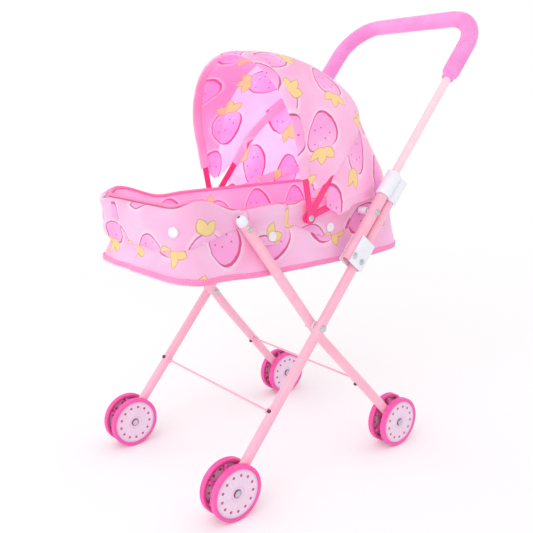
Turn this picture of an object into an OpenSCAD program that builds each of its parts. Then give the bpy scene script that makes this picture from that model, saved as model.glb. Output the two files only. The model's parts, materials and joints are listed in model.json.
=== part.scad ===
// Folding doll stroller: a crossed tube frame on four twin wheels, a fabric basket slung
// between the legs, a folding three-bow hood and a swing-down handle with sliding locks.
// +X is the pusher's left, +Y runs back to the handle and +Z is up.

/* [Frame] */
// Distance from the middle to the centre line of each main leg
leg_x = 112; // [104:1:140]
// Slope of the main legs above the floor
leg_angle = 49.8; // [46:0.2:54]
// Length of a main leg from its axle to its top end
leg_len = 395; // [380:1:402]
// Distance between the front and rear axles
wheelbase = 264; // [240:1:300]
// Outer diameter of the leg tubes
tube_d = 12; // [10:0.5:13]
// Wall of all the steel tubes
tube_wall = 0.9; // [0.6:0.1:1.5]
// Place of the crossing pivot along the main leg
cross_s = 203; // [190:1:225]
// Gap between the two tubes at the crossing
cross_gap = 1.5; // [1.2:0.1:3]
// Distance below the crossing where a rear leg starts to bend outwards
bend_drop = 28; // [24:1:45]
// Length of straight rear leg above its axle
foot_len = 42; // [38:1:60]
// Diameter of the brace wires
wire_d = 2.6; // [2:0.1:4]
// Distance of a brace wire from its axle, along the leg
wire_s = 92; // [75:1:110]

/* [Wheels] */
// Outer diameter of a wheel
wheel_d = 64; // [54:1:76]
// Width of one disc of a twin wheel
disc_w = 7.2; // [6:0.2:10]
// Gap between the two discs of a twin wheel
disc_gap = 13; // [12.8:0.1:16]
// Radial thickness of the rim
rim_t = 4.2; // [3:0.2:7]
// Number of spokes
spokes = 6; // [5:1:8]
// Diameter of an axle pin
axle_d = 5; // [4:0.5:6]

/* [Handle] */
// Distance between the handle tube and the leg tube, centre to centre
handle_offset = 15; // [14.5:0.5:18]
// Diameter of the upper handle tube
handle_d = 10; // [9:0.5:11]
// Diameter of the socket tube at the foot of the handle
socket_d = 13.5; // [12.5:0.5:14]
// Place of the handle pivot along the main leg
pivot_s = 294; // [285:1:300]
// Length of the socket tube above the handle pivot
socket_len = 83; // [78:1:88]
// Place of the top bar, along the line of the leg
bar_s = 659; // [600:1:720]
// Bend radius of the handle corners
bar_r = 57; // [40:1:62]
// Diameter of the foam grip
grip_d = 22; // [18:0.5:24]
// Length of the grip down each side, below the top bar
grip_len = 104; // [80:1:130]
// Length of a lock sleeve
lock_len = 32; // [26:1:36]
// Length of a lower bracket
bracket_len = 36; // [32:1:42]
// Distance from the handle pivot to the rail pivot
crank = 60; // [55:1:64]

/* [Basket] */
// Outer length of the basket
basket_len = 330; // [300:1:370]
// How far the basket reaches in front of the front axle
basket_nose = 40; // [36:1:60]
// Corner radius of the basket
basket_r = 28; // [24:1:40]
// Gap between the basket and the rear legs
basket_gap = 2; // [1.9:0.1:6]
// Height of the rim above the rail, along the sides
rim_rise = 18; // [12:1:24]
// Extra height of the rim at the front
nose_rise = 14; // [4:1:20]
// Drop from the rail to the hem
hem_drop = 58; // [48:1:60]
// Width of the hem binding
hem_w = 7; // [4:0.5:10]
// Diameter of the rail tube
rail_d = 6.8; // [5:0.2:7.2]
// Thickness of the base board
board_t = 2.5; // [1.5:0.5:4]
// Diameter of a snap button
snap_d = 11; // [8:0.5:13]

/* [Hood] */
// Distance of the hood pivot behind the basket's front pivot
hood_back = 92; // [84:1:100]
// Straight length of each side of a bow
bow_side = 88; // [70:1:100]
// Width of a bow strip
bow_w = 8; // [6:0.5:10]
// Thickness of a bow strip
bow_t = 1.8; // [1.2:0.1:2.2]
// Slope of the front bow, from straight back
front_bow_angle = 100.5; // [94:0.5:104]
// Slope of the middle bow
middle_bow_angle = 52; // [50:0.5:60]
// Slope of the rear bow
rear_bow_angle = 15; // [12:0.5:18]

/* [Hidden] */
$fn = 48;

// Clearances
run = 0.05;          // a pin in its hole
free = 0.3;          // parts that pass each other
tiny = 0.01;

// Radii
tube_r = tube_d / 2;
handle_r = handle_d / 2;
socket_r = socket_d / 2;
grip_r = grip_d / 2;
rail_r = rail_d / 2;
wire_r = wire_d / 2;
wheel_r = wheel_d / 2;
axle_r = axle_d / 2;
pin_r = 2;           // handle, bracket and rail rivets
cross_pin_r = 2.5;   // crossing rivets
slim_pin_r = 1.6;    // hood and basket rivets
head_t = 1.6;        // height of a domed rivet head
stub = 8;            // leg tube past its axle

// Side view: points are [y, z]
axle_z = wheel_r;
function along_leg(s, n = 0) =
    [s * cos(leg_angle) - n * sin(leg_angle), axle_z + s * sin(leg_angle) + n * cos(leg_angle)];
cross_p = along_leg(cross_s);
handle_p = along_leg(pivot_s, handle_offset);
rail_p = along_leg(pivot_s + crank, handle_offset);
rail_z = rail_p[1];
rear_axle_p = [wheelbase, axle_z];

// The rear leg's top pivot lies level with the rail pivot, as far in front of it as the leg reaches
rear_reach = 156;    // crossing pivot to the basket's front pivot
basket_p = [cross_p[0] - sqrt(pow(rear_reach, 2) - pow(rail_z - cross_p[1], 2)), rail_z];
upper_dir = (basket_p - cross_p) / norm(basket_p - cross_p);
lower_dir = (rear_axle_p - (cross_p - bend_drop * upper_dir))
    / norm(rear_axle_p - (cross_p - bend_drop * upper_dir));
knee_p = cross_p - bend_drop * upper_dir;
ankle_p = rear_axle_p - foot_len * lower_dir;
cap_len = 9;         // end cap beyond the basket pivot
tube_over = 6;       // leg tube beyond the basket pivot

// Across the stroller, from the outside in
rear_x = leg_x - tube_d - cross_gap;                 // rear legs above the knee
skirt_x = rear_x - tube_r - basket_gap;              // outer face of the basket
skirt_t = 2.5;
rail_x = skirt_x - skirt_t - rail_r - 0.55;
liner_x = rail_x - rail_r - 0.2;
liner_t = 1.5;

// Basket ends
basket_y0 = -basket_nose;
basket_y1 = basket_y0 + basket_len;
rim_z = rail_z + rim_rise;
hem_z = rail_z - hem_drop;
floor_z = hem_z + 13;

// Hood
hood_p = [basket_p[0] + hood_back, rail_z];
hub_r = 6.5;
bow_step = bow_t + free;
rear_bow_x = skirt_x + 0.5;                          // inner face of each bow at its foot
middle_bow_x = rear_bow_x + bow_step;
back_panel_x = middle_bow_x + bow_step;
panel_t = 1;
front_bow_x = back_panel_x + panel_t + free;
front_panel_x = front_bow_x + bow_step;
panel_start = 28;    // distance of the fabric's lower edge from the pivot
drape_start = basket_y1 - hood_p[0] + 2;   // the same for the part that hangs behind the basket

// The origin is under the middle of the whole stroller
bar_p = along_leg(bar_s, handle_offset);
mid_y = (basket_y0 + bar_p[0] + grip_r) / 2;

PINK = "pink";
HOT = "hotpink";
WHITE = "whitesmoke";
STEEL = "silver";
CLOTH = "lightpink";

// ---------- helpers ----------

module placed() translate([0, -mid_y, 0]) children();

// Drawn along the leg: local Z runs up the leg, local -Y is the side that faces forward
module leg_frame() placed() translate([0, 0, axle_z]) rotate([leg_angle - 90, 0, 0]) children();

module both() for (side = [1, -1]) flip_x(side) children();

// Keeps a shape on the left (1) or mirrors it to the right (-1)
module flip_x(side) {
    if (side > 0) children();
    else mirror([1, 0, 0]) children();
}

// A rod between two points
module rod(a, b, r) {
    v = b - a;
    translate(a) rotate([0, acos(v[2] / norm(v)), atan2(v[1], v[0])]) cylinder(r = r, h = norm(v));
}

// A round bar along X, from x0 to x1, through a side-view point
module cross_bar(p, x0, x1, r) translate([x0, p[0], p[1]]) rotate([0, 90, 0]) cylinder(r = r, h = x1 - x0);

// The same in the leg's own frame
module leg_bar(s, n, x0, x1, r) translate([x0, -n, s]) rotate([0, 90, 0]) cylinder(r = r, h = x1 - x0);

// The outline of a domed head from its rim at height h to its top, as [radius, height]
function dome_line(r, h) = [for (a = [0:15:90]) [r * cos(a), h + head_t * sin(a)]];

// A rivet along X through a side-view point: a shank from x0 to x1, with a domed head beyond x1
// and, where it has two heads, another before x0
module rivet(p, x0, x1, r, head_r, heads = 2) translate([0, p[0], p[1]]) rotate([0, 90, 0])
    rotate_extrude() polygon(concat(
        heads == 2 ? [for (a = [90:-15:0]) [head_r * cos(a), x0 - head_t * sin(a)]] : [[0, x0], [r, x0]],
        heads == 2 ? [[r, x0]] : [],
        [[r, x1]],
        dome_line(head_r, x1)));

// ---------- main legs ----------

module front_leg(side) color(PINK) flip_x(side) leg_frame() difference() {
    union() {
        translate([leg_x, 0, -stub]) cylinder(r = tube_r, h = leg_len + stub);
        translate([leg_x, tube_r - 1.2, leg_len - 36]) sphere(r = 3.4);
    }
    translate([leg_x, 0, -stub - 1]) cylinder(r = tube_r - tube_wall, h = leg_len + stub + 2);
    leg_bar(0, 0, 0, 2 * leg_x, axle_r + run);
    leg_bar(wire_s, 0, 0, leg_x, screw_r + run);
    leg_bar(cross_s, 0, 0, 2 * leg_x, cross_pin_r + run);
    leg_bar(pivot_s, 0, 0, 2 * leg_x, pin_r + run);
}

plate_in = socket_r + free;          // inner face of a bracket plate, from the tube's axis
plate_out = plate_in + 1.2;
module bracket(side) color(WHITE) flip_x(side) leg_frame() difference() {
    translate([leg_x - plate_out, -handle_offset - 3.5, pivot_s - 10])
        cube([2 * plate_out, handle_offset + 3.5 + tube_r + 1.4, bracket_len]);
    translate([leg_x - plate_in, -handle_offset - 5, pivot_s - 11])
        cube([2 * plate_in, handle_offset + 5 + tube_r + run, bracket_len + 2]);
    for (n = [0, handle_offset]) leg_bar(pivot_s, n, 0, 2 * leg_x, pin_r + run);
}

module bracket_rivets() color(STEEL) both() placed() for (n = [0, handle_offset])
    rivet(along_leg(pivot_s, n), leg_x - plate_out - run, leg_x + plate_out + run, pin_r, 3.6);

screw_r = 1.2;
// A brace: a thin wire with a flat eye at each end, screwed to the inner side of the legs
module brace(p, x_end) {
    cross_bar(p, -x_end + 1.2, x_end - 1.2, wire_r);
    both() difference() {
        cross_bar(p, x_end - 2, x_end, 4);
        cross_bar(p, x_end - 1.2, x_end + 1, screw_r + run);
    }
}

// A brace's screws, from inside the eye into the leg
module brace_screws(p, x_end) both() translate([0, p[0], p[1]]) rotate([0, 90, 0])
    translate([0, 0, x_end - 1.1]) cylinder(r = screw_r, h = 4);

front_wire_p = along_leg(wire_s);
module front_brace_wire() color(PINK) placed() brace(front_wire_p, leg_x - tube_r - run);
module front_brace_screws() color("dimgray") placed() brace_screws(front_wire_p, leg_x - tube_r - run);

module cross_rivets() color(STEEL) both() placed()
    rivet(cross_p, rear_x - tube_r + run - 0.1, leg_x + tube_r + run, cross_pin_r, 4.4);

module cross_washers() color(WHITE) both() placed() difference() {
    cross_bar(cross_p, rear_x + tube_r + 0.2, leg_x - tube_r - 0.1, 6);
    cross_bar(cross_p, 0, 2 * leg_x, cross_pin_r + run);
}

// ---------- rear legs ----------

function at_x(p, x) = [x, p[0], p[1]];
rear_top = at_x(basket_p + tube_over * upper_dir, rear_x);
rear_foot = at_x(rear_axle_p + stub * lower_dir, leg_x);
rear_knee = at_x(knee_p, rear_x);
rear_ankle = at_x(ankle_p, leg_x);

function unit(v) = v / norm(v);

bend_r = tube_r + 0.15;              // the slight bulge of the tube in a bend
bore_gap = 8;                        // the bore is left out around each bend

// The bore between two points, stopping short at those ends that are in a bend
module bore(a, b, gap_a, gap_b) {
    along = unit(b - a);
    rod(a + gap_a * along, b - gap_b * along, tube_r - tube_wall);
}

rear_wire_p = rear_axle_p - wire_s * lower_dir;
wire_share = (wire_s - foot_len) / norm(knee_p - ankle_p);
rear_wire_x = leg_x + wire_share * (rear_x - leg_x);
rear_wire_end = rear_wire_x - tube_r - 1;
module rear_leg(side) color(PINK) flip_x(side) placed() difference() {
    union() {
        rod(rear_top, rear_knee, tube_r);
        rod(rear_knee, rear_ankle, tube_r);
        rod(rear_ankle, rear_foot, tube_r);
        for (p = [rear_knee, rear_ankle]) translate(p) sphere(r = bend_r);
    }
    bore(rear_top, rear_knee, -1, bore_gap);
    bore(rear_knee, rear_ankle, bore_gap, bore_gap);
    bore(rear_ankle, rear_foot, bore_gap, -1);
    cross_bar(basket_p, 0, 2 * leg_x, slim_pin_r + run);
    cross_bar(cross_p, 0, 2 * leg_x, cross_pin_r + run);
    cross_bar(rear_axle_p, 0, 2 * leg_x, axle_r + run);
    cross_bar(rear_wire_p, 0, rear_wire_x, screw_r + run);
}

// A round-nosed plastic cap on the top end of a rear leg: a plug, a rim and a dome with a hole in it
cap_hole_r = 1.5;
cap_plug = 2;
module rear_cap(side) color(WHITE) flip_x(side) placed() translate(rear_top)
    rotate([0, acos(unit(rear_top - rear_knee)[2]), atan2((rear_top - rear_knee)[1], 0)]) rotate_extrude()
        polygon(concat(
            [[cap_hole_r, -cap_plug], [tube_r - tube_wall - run, -cap_plug],
             [tube_r - tube_wall - run, run], [tube_r, run]],
            [for (a = [0:10:70]) [tube_r * cos(a), cap_len / 2 + tube_r * sin(a)]],
            [[cap_hole_r, cap_len / 2 + tube_r - 0.3]]));

module rear_brace_wire() color(PINK) placed() brace(rear_wire_p, rear_wire_end);
module rear_brace_screws() color("dimgray") placed() brace_screws(rear_wire_p, rear_wire_end);

module basket_rivets() color(STEEL) both() placed()
    rivet(basket_p, rail_x, rear_x + tube_r + run, slim_pin_r, 3.6, heads = 1);

// ---------- axles and wheels ----------

disc_in = disc_gap / 2;              // inner face of a disc, from the leg's axis
disc_out = disc_in + disc_w;
cap_r = wheel_r - rim_t - run;
cap_t = 1.6;
cap_sink = 0.5;                      // how far a cap sits below the rim's edge
dimple_r = 5;
axle_head_t = 1.2;
module axles(p) both() placed() {
    cross_bar(p, leg_x - disc_out + cap_sink, leg_x + disc_out - cap_sink, axle_r);
    for (end = [leg_x - disc_out + cap_sink, leg_x + disc_out - cap_sink - axle_head_t])
        cross_bar(p, end, end + axle_head_t, dimple_r - 1);
}
module front_axles() color(STEEL) axles([0, axle_z]);
module rear_axles() color(STEEL) axles(rear_axle_p);

// One disc, standing on the plane z = 0 with its outer face at z = disc_w
module disc() difference() {
    union() {
        difference() {
            cylinder(r = wheel_r, h = disc_w, $fn = 72);
            translate([0, 0, -1]) cylinder(r = wheel_r - rim_t, h = disc_w + 2, $fn = 72);
        }
        cylinder(r = 7, h = disc_w - cap_t - cap_sink - run);
        for (i = [0:spokes - 1]) rotate([0, 0, i * 360 / spokes])
            translate([4, -1.6, 0]) cube([wheel_r - rim_t - 4 + 0.5, 3.2, disc_w - cap_t - cap_sink - run]);
    }
    translate([0, 0, -1]) cylinder(r = axle_r + run, h = disc_w + 2);
}

// The printed cover plate in the outer face of a disc
module cap_plate() difference() {
    translate([0, 0, disc_w - cap_t - cap_sink]) cylinder(r = cap_r, h = cap_t, $fn = 72);
    cylinder(r = dimple_r, h = disc_w);
}

// Places a disc or a cap at an axle: side is +1 or -1, facing is +1 outwards and -1 inwards
module at_wheel(p, side, facing) flip_x(side) placed() translate([leg_x, p[0], p[1]])
    flip_x(facing) translate([disc_in, 0, 0]) rotate([0, 90, 0]) children();

module wheel_disc(p, side, facing) color(HOT) at_wheel(p, side, facing) disc();
module wheel_cap(p, side, facing) color("thistle") at_wheel(p, side, facing) cap_plate();

// ---------- handle ----------

handle_foot = pivot_s + 14;
module bend_path(r, s0) {
    top = bar_s;
    for (side = [1, -1]) flip_x(side) {
        translate([leg_x, -handle_offset, s0]) cylinder(r = r, h = top - bar_r - s0);
        translate([leg_x - bar_r, -handle_offset, top - bar_r]) rotate([90, 0, 0])
            rotate_extrude(angle = 90) translate([bar_r, 0]) circle(r = r);
    }
    translate([-leg_x + bar_r, -handle_offset, top]) rotate([0, 90, 0])
        cylinder(r = r, h = 2 * (leg_x - bar_r));
}

module handle_tube() color(PINK) leg_frame() difference() {
    bend_path(handle_r, handle_foot);
    bend_path(handle_r - tube_wall, handle_foot - 1);
    leg_bar(pivot_s + crank, handle_offset, -2 * leg_x, 2 * leg_x, pin_r + run);
}

// The socket's foot is rounded about the pivot, so that it turns clear of the leg
foot_r = handle_offset - tube_r - free;
module socket(side) color(PINK) flip_x(side) leg_frame() difference() {
    intersection() {
        translate([leg_x, -handle_offset, pivot_s - foot_r])
            cylinder(r = socket_r, h = foot_r + socket_len);
        union() {
            leg_bar(pivot_s, handle_offset, 0, 2 * leg_x, foot_r);
            translate([0, -handle_offset - 20, pivot_s]) cube([2 * leg_x, 40, socket_len + 1]);
        }
    }
    translate([leg_x, -handle_offset, pivot_s - foot_r - 1])
        cylinder(r = handle_r + run, h = foot_r + socket_len + 2);
    for (s = [pivot_s, pivot_s + crank])
        leg_bar(s, handle_offset, 0, 2 * leg_x, pin_r + run);
}

module handle_grip() color("plum") leg_frame() difference() {
    union() {
        bend_path(grip_r, bar_s - grip_len);
        for (side = [1, -1]) translate([side * leg_x, -handle_offset, bar_s - grip_len - 6])
            cylinder(r = grip_r - 3.5, h = 6);
    }
    bend_path(handle_r + run, bar_s - grip_len - 20);
}

module socket_rivets() color(STEEL) both() placed()
    rivet(rail_p, leg_x - socket_r - run, leg_x + socket_r + run, pin_r, 3.6);

// A lock sleeve: a full ring on the handle tube, and a clip over the leg's end, open behind
lock_r = 9;
clip_r = tube_r + 2.5;
module lock_sleeve(side) color(WHITE) flip_x(side) leg_frame()
    translate([leg_x, 0, pivot_s + socket_len + free]) difference() {
        union() {
            translate([0, -handle_offset, 0]) cylinder(r = lock_r, h = lock_len);
            cylinder(r = clip_r, h = lock_len);
            translate([-5, -handle_offset, 0]) cube([10, handle_offset, lock_len]);
        }
        translate([0, -handle_offset, -1]) cylinder(r = handle_r + run, h = lock_len + 2);
        translate([0, 0, -1]) cylinder(r = tube_r + free, h = lock_len + 2);
        translate([-tube_r - free, 0, -1]) cube([2 * (tube_r + free), 20, lock_len + 2]);
    }

// ---------- basket ----------

module round_rect(half_w, y0, y1, r) {
    translate([-half_w + r, y0]) square([2 * (half_w - r), y1 - y0]);
    translate([-half_w, y0 + r]) square([2 * half_w, y1 - y0 - 2 * r]);
    for (x = [-half_w + r, half_w - r], y = [y0 + r, y1 - r]) translate([x, y]) circle(r = r);
}

// A wall in plan, set in by `inset` from the basket's outer face and `t` thick
module basket_ring(inset, t) difference() {
    round_rect(skirt_x - inset, basket_y0 + inset, basket_y1 - inset, basket_r - inset);
    round_rect(skirt_x - inset - t, basket_y0 + inset + t, basket_y1 - inset - t, basket_r - inset - t);
}

// Keeps what lies between two lines of height along the basket, drawn in side view
module side_band(low, high) rotate([90, 0, 90]) translate([0, 0, -leg_x]) linear_extrude(2 * leg_x)
    polygon(concat(low, [for (i = [len(high) - 1:-1:0]) high[i]]));

function rim_line(up) = [
    [basket_y0 - 9, rim_z + nose_rise + up],
    [basket_y0 + 40, rim_z + nose_rise * 0.8 + up],
    [basket_y0 + 100, rim_z + 1 + up],
    [basket_y0 + 150, rim_z + up],
    [basket_y1 + 9, rim_z + up]];
function hem_line(up) = [
    [basket_y0 - 9, hem_z + 8 + up],
    [basket_y0 + 40, hem_z + 4 + up],
    [basket_y0 + 110, hem_z + up],
    [basket_y1 - 60, hem_z + up],
    [basket_y1 + 9, hem_z + 5 + up]];

liner_in = skirt_x - liner_x;
module basket_wall(inset, t) translate([0, 0, hem_z - 2])
    linear_extrude(rim_z + nose_rise - hem_z + 12) basket_ring(inset, t);

module pin_holes(x0) both() for (p = [basket_p, hood_p, rail_p])
    cross_bar(p, x0, 2 * leg_x, slim_pin_r + free);

module basket_skirt() color(CLOTH) placed() difference() {
    intersection() {
        basket_wall(0, skirt_t);
        side_band(hem_line(hem_w), rim_line(0));
    }
    pin_holes(skirt_x - 4);
}

module hem_binding() color(HOT) placed() intersection() {
    basket_wall(0, skirt_t);
    side_band(hem_line(0), hem_line(hem_w - run));
}

module basket_liner() color(CLOTH) placed() {
    intersection() {
        basket_wall(liner_in, liner_t);
        side_band([[basket_y0, floor_z + board_t + run], [basket_y1, floor_z + board_t + run]], rim_line(0));
    }
    translate([0, 0, floor_z + board_t + run]) linear_extrude(liner_t)
        round_rect(liner_x - tiny, basket_y0 + liner_in + tiny, basket_y1 - liner_in - tiny,
                   basket_r - liner_in);
}

module rim_binding() color(CLOTH) placed() intersection() {
    basket_wall(0, liner_in + liner_t);
    side_band(rim_line(run), rim_line(2.5));
}

module base_board() color("snow") placed() translate([0, 0, floor_z]) linear_extrude(board_t)
    round_rect(skirt_x - skirt_t - 0.5, basket_y0 + skirt_t + 0.5, basket_y1 - skirt_t - 0.5,
               basket_r - skirt_t);

// The steel rail runs right round the basket, between skirt and liner
rail_bend = basket_r - (skirt_x - rail_x);
module rail_path(r) {
    y0 = basket_y0 + skirt_x - rail_x;
    y1 = basket_y1 - skirt_x + rail_x;
    both() rod([rail_x, y0 + rail_bend, rail_z], [rail_x, y1 - rail_bend, rail_z], r);
    for (y = [y0, y1]) rod([-rail_x + rail_bend, y, rail_z], [rail_x - rail_bend, y, rail_z], r);
    for (corner = [[1, 1, 0], [-1, 1, 90], [-1, -1, 180], [1, -1, 270]])
        translate([corner[0] * (rail_x - rail_bend),
                   corner[1] > 0 ? y1 - rail_bend : y0 + rail_bend, rail_z])
            rotate([0, 0, corner[2]]) rotate_extrude(angle = 90) translate([rail_bend, 0]) circle(r = r);
}

module rail_loop() color(STEEL) placed() difference() {
    rail_path(rail_r);
    rail_path(rail_r - tube_wall);
    both() for (p = [basket_p, hood_p, rail_p]) cross_bar(p, rail_x, 2 * leg_x, slim_pin_r + run);
}

// Pivot bosses where the handle's rivets meet the rail
boss_end = leg_x - socket_r - head_t - 0.4;
module rail_bosses() color(WHITE) both() placed() {
    cross_bar(rail_p, rail_x, skirt_x + 1, slim_pin_r);
    cross_bar(rail_p, skirt_x + 0.3, boss_end, 4.5);
}

// Snap buttons that close the folded tabs of the skirt: one on each front corner, two on each side
snap_t = basket_gap - 0.4;
snap_z = rail_z - 15;
corner_snap_z = rail_z + 2;
corner_turn = 60;    // direction of the corner snaps, from sideways towards the front
corner_p = [skirt_x - basket_r, basket_y0 + basket_r];
module snap(x, y, z, turn) translate([x, y, z]) rotate([0, 0, turn]) rotate([0, 90, 0])
    translate([0, 0, run]) cylinder(r = snap_d / 2, h = snap_t);
module snap_buttons() color(WHITE) both() placed() {
    for (y = [basket_p[0] + 41, hood_p[0] + 37]) snap(skirt_x, y, snap_z, 0);
    snap(corner_p[0] + basket_r * cos(corner_turn), corner_p[1] - basket_r * sin(corner_turn),
         corner_snap_z, -corner_turn);
}

// ---------- hood ----------

// The outline of a bow seen along its width: two straight sides and a round top
module arch(half_w) {
    translate([0, bow_side]) circle(r = half_w, $fn = 96);
    translate([-half_w, 0]) square([2 * half_w, bow_side]);
}

// A bow: a round top and two flat sides, each with an eye at its foot
module bow(half_in, angle) placed() translate([0, hood_p[0], hood_p[1]]) rotate([angle - 90, 0, 0]) {
    translate([0, bow_w / 2, bow_side]) rotate([90, 0, 0]) bow_top(half_in);
    both() translate([half_in, 0, 0]) rotate([90, 0, 90]) linear_extrude(bow_t) difference() {
        union() {
            circle(r = hub_r);
            translate([-bow_w / 2, 0]) square([bow_w, bow_side]);
        }
        circle(r = slim_pin_r + run);
    }
}

// The half ring over the top of a bow, bow_w deep
module bow_top(half_in)
    rotate_extrude(angle = 180, $fn = 96) translate([half_in, 0]) square([bow_t, bow_w]);

module rear_bow() color(HOT) bow(rear_bow_x, rear_bow_angle);
module middle_bow() color(HOT) bow(middle_bow_x, middle_bow_angle);
module front_bow() color(HOT) bow(front_bow_x, front_bow_angle);

// A gore of fabric swept about the hood pivot, from one slope to another
module gore(half_in, from, to, start) rotate([from, 0, 0]) rotate([0, 90, 0]) rotate([0, 0, 90])
    rotate_extrude(angle = to - from, $fn = 96) intersection() {
        rotate([0, 0, -90]) difference() {
            arch(half_in + panel_t);
            arch(half_in);
        }
        translate([start, -leg_x]) square([400, 2 * leg_x]);
    }

module at_hood() placed() translate([0, hood_p[0], hood_p[1]]) children();

module hood_front_panel() color(CLOTH) at_hood()
    gore(front_panel_x, middle_bow_angle - 3, front_bow_angle + 3, panel_start);

// The back gore ends in a drape behind the basket, which is cut away beside it
drape_angle = rear_bow_angle - 4;
module hood_back_panel() color(CLOTH) at_hood() difference() {
    gore(back_panel_x, -3, middle_bow_angle + 4, panel_start);
    intersection() {
        rotate([0, 90, 0]) translate([0, 0, -leg_x]) cylinder(r = drape_start, h = 2 * leg_x);
        rotate([drape_angle, 0, 0]) translate([-leg_x, 0, -drape_start]) cube([2 * leg_x, 200, drape_start]);
    }
}

module hood_rivets() color(STEEL) both() placed()
    rivet(hood_p, rail_x, front_bow_x + bow_t + run, slim_pin_r, 3.6, heads = 1);

// ---------- nodes ----------

front_leg(1);  // front_leg_left
front_leg(-1);  // front_leg_right
bracket(1);  // bracket_left
bracket(-1);  // bracket_right
bracket_rivets();
front_brace_wire();
front_brace_screws();
cross_rivets();
cross_washers();
front_axles();
rear_leg(1);  // rear_leg_left
rear_leg(-1);  // rear_leg_right
rear_cap(1);  // rear_cap_left
rear_cap(-1);  // rear_cap_right
rear_brace_wire();
rear_brace_screws();
rear_axles();
basket_rivets();
handle_tube();
socket(1);  // socket_left
socket(-1);  // socket_right
handle_grip();
socket_rivets();
lock_sleeve(1);  // lock_sleeve_left
lock_sleeve(-1);  // lock_sleeve_right
rail_loop();
rail_bosses();
base_board();
basket_liner();
basket_skirt();
rim_binding();
hem_binding();
snap_buttons();
hood_rivets();
rear_bow();
hood_back_panel();
middle_bow();
front_bow();
hood_front_panel();
for (end = [["front", [0, axle_z]], ["rear", rear_axle_p]], side = [["left", 1], ["right", -1]],
        face = [["outer", 1], ["inner", -1]]) {
    tail = str(end[0], "_", side[0], "_", face[0]);
    wheel_disc(end[1], side[1], face[1]);
    wheel_cap(end[1], side[1], face[1]);
}
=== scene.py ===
"""A folding doll stroller for a picture: crossed pink steel legs on twin wheels, a ribbed
foam grip, a printed cloth basket with button tabs, and a three-bow hood.

Every part stands on a fixed frame of jointed bodies, in metres, with +X to the pusher's left,
+Y back to the handle and +Z up."""

from __future__ import annotations

import json
import logging
import math
from collections.abc import Callable, Sequence
from dataclasses import dataclass
from enum import Enum
from functools import cache
from typing import Any

import bmesh
import bpy
from mathutils import Matrix, Vector, noise

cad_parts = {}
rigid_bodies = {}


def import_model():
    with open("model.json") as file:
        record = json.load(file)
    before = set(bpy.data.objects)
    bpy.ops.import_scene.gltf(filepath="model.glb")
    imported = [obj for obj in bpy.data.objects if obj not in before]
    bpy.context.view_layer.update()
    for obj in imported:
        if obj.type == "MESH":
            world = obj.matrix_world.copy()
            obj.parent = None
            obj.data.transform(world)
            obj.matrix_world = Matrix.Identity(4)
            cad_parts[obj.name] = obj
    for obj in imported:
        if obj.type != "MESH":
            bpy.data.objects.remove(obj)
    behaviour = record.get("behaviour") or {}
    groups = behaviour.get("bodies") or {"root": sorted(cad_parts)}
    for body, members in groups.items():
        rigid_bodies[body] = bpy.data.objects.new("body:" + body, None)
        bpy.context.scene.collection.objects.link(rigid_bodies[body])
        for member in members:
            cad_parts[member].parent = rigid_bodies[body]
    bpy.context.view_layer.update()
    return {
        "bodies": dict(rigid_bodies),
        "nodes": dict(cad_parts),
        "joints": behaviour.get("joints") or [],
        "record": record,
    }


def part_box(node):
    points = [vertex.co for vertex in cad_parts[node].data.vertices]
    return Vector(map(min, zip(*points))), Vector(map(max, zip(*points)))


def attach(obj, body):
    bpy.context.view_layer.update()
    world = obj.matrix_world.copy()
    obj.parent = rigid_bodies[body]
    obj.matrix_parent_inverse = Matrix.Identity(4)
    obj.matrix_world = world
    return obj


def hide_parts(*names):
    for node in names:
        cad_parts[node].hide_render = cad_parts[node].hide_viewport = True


LOG = logging.getLogger("doll_stroller")
MM = 0.001
SIDES = (("left", 1.0), ("right", -1.0))
Colour = tuple[float, float, float]


def srgb(red: int, green: int, blue: int) -> Colour:
    """Turns a display colour, 0 to 255, into scene-linear values."""
    return tuple(((c / 255 + 0.055) / 1.055) ** 2.4 if c > 10 else c / 3294.6 for c in (red, green, blue))


def smooth(low: float, high: float, value: float) -> float:
    """A soft step from 0 at low to 1 at high; low may be the larger."""
    t = min(max((value - low) / (high - low), 0.0), 1.0)
    return t * t * (3 - 2 * t)


def soft_min(a: float, b: float, reach: float) -> float:
    """The smaller of two lengths, rounded over within reach of where they cross."""
    h = min(max(0.5 + 0.5 * (b - a) / reach, 0.0), 1.0)
    return b + (a - b) * h - reach * h * (1 - h)


def along_stops(stops: Sequence[tuple[float, float]], at: float) -> float:
    """Reads a curve given as rising (place, value) stops, eased between them.

    Args:
        stops: the curve's corners, in rising order of place.
        at: the place to read.

    Returns:
        The value there; past either end, the end's value.
    """
    if at <= stops[0][0]:
        return stops[0][1]
    for (x0, y0), (x1, y1) in zip(stops, stops[1:]):
        if at <= x1:
            return y0 + (y1 - y0) * smooth(x0, x1, at)
    return stops[-1][1]


# ---------------------------------------------------------------- node trees


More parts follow.
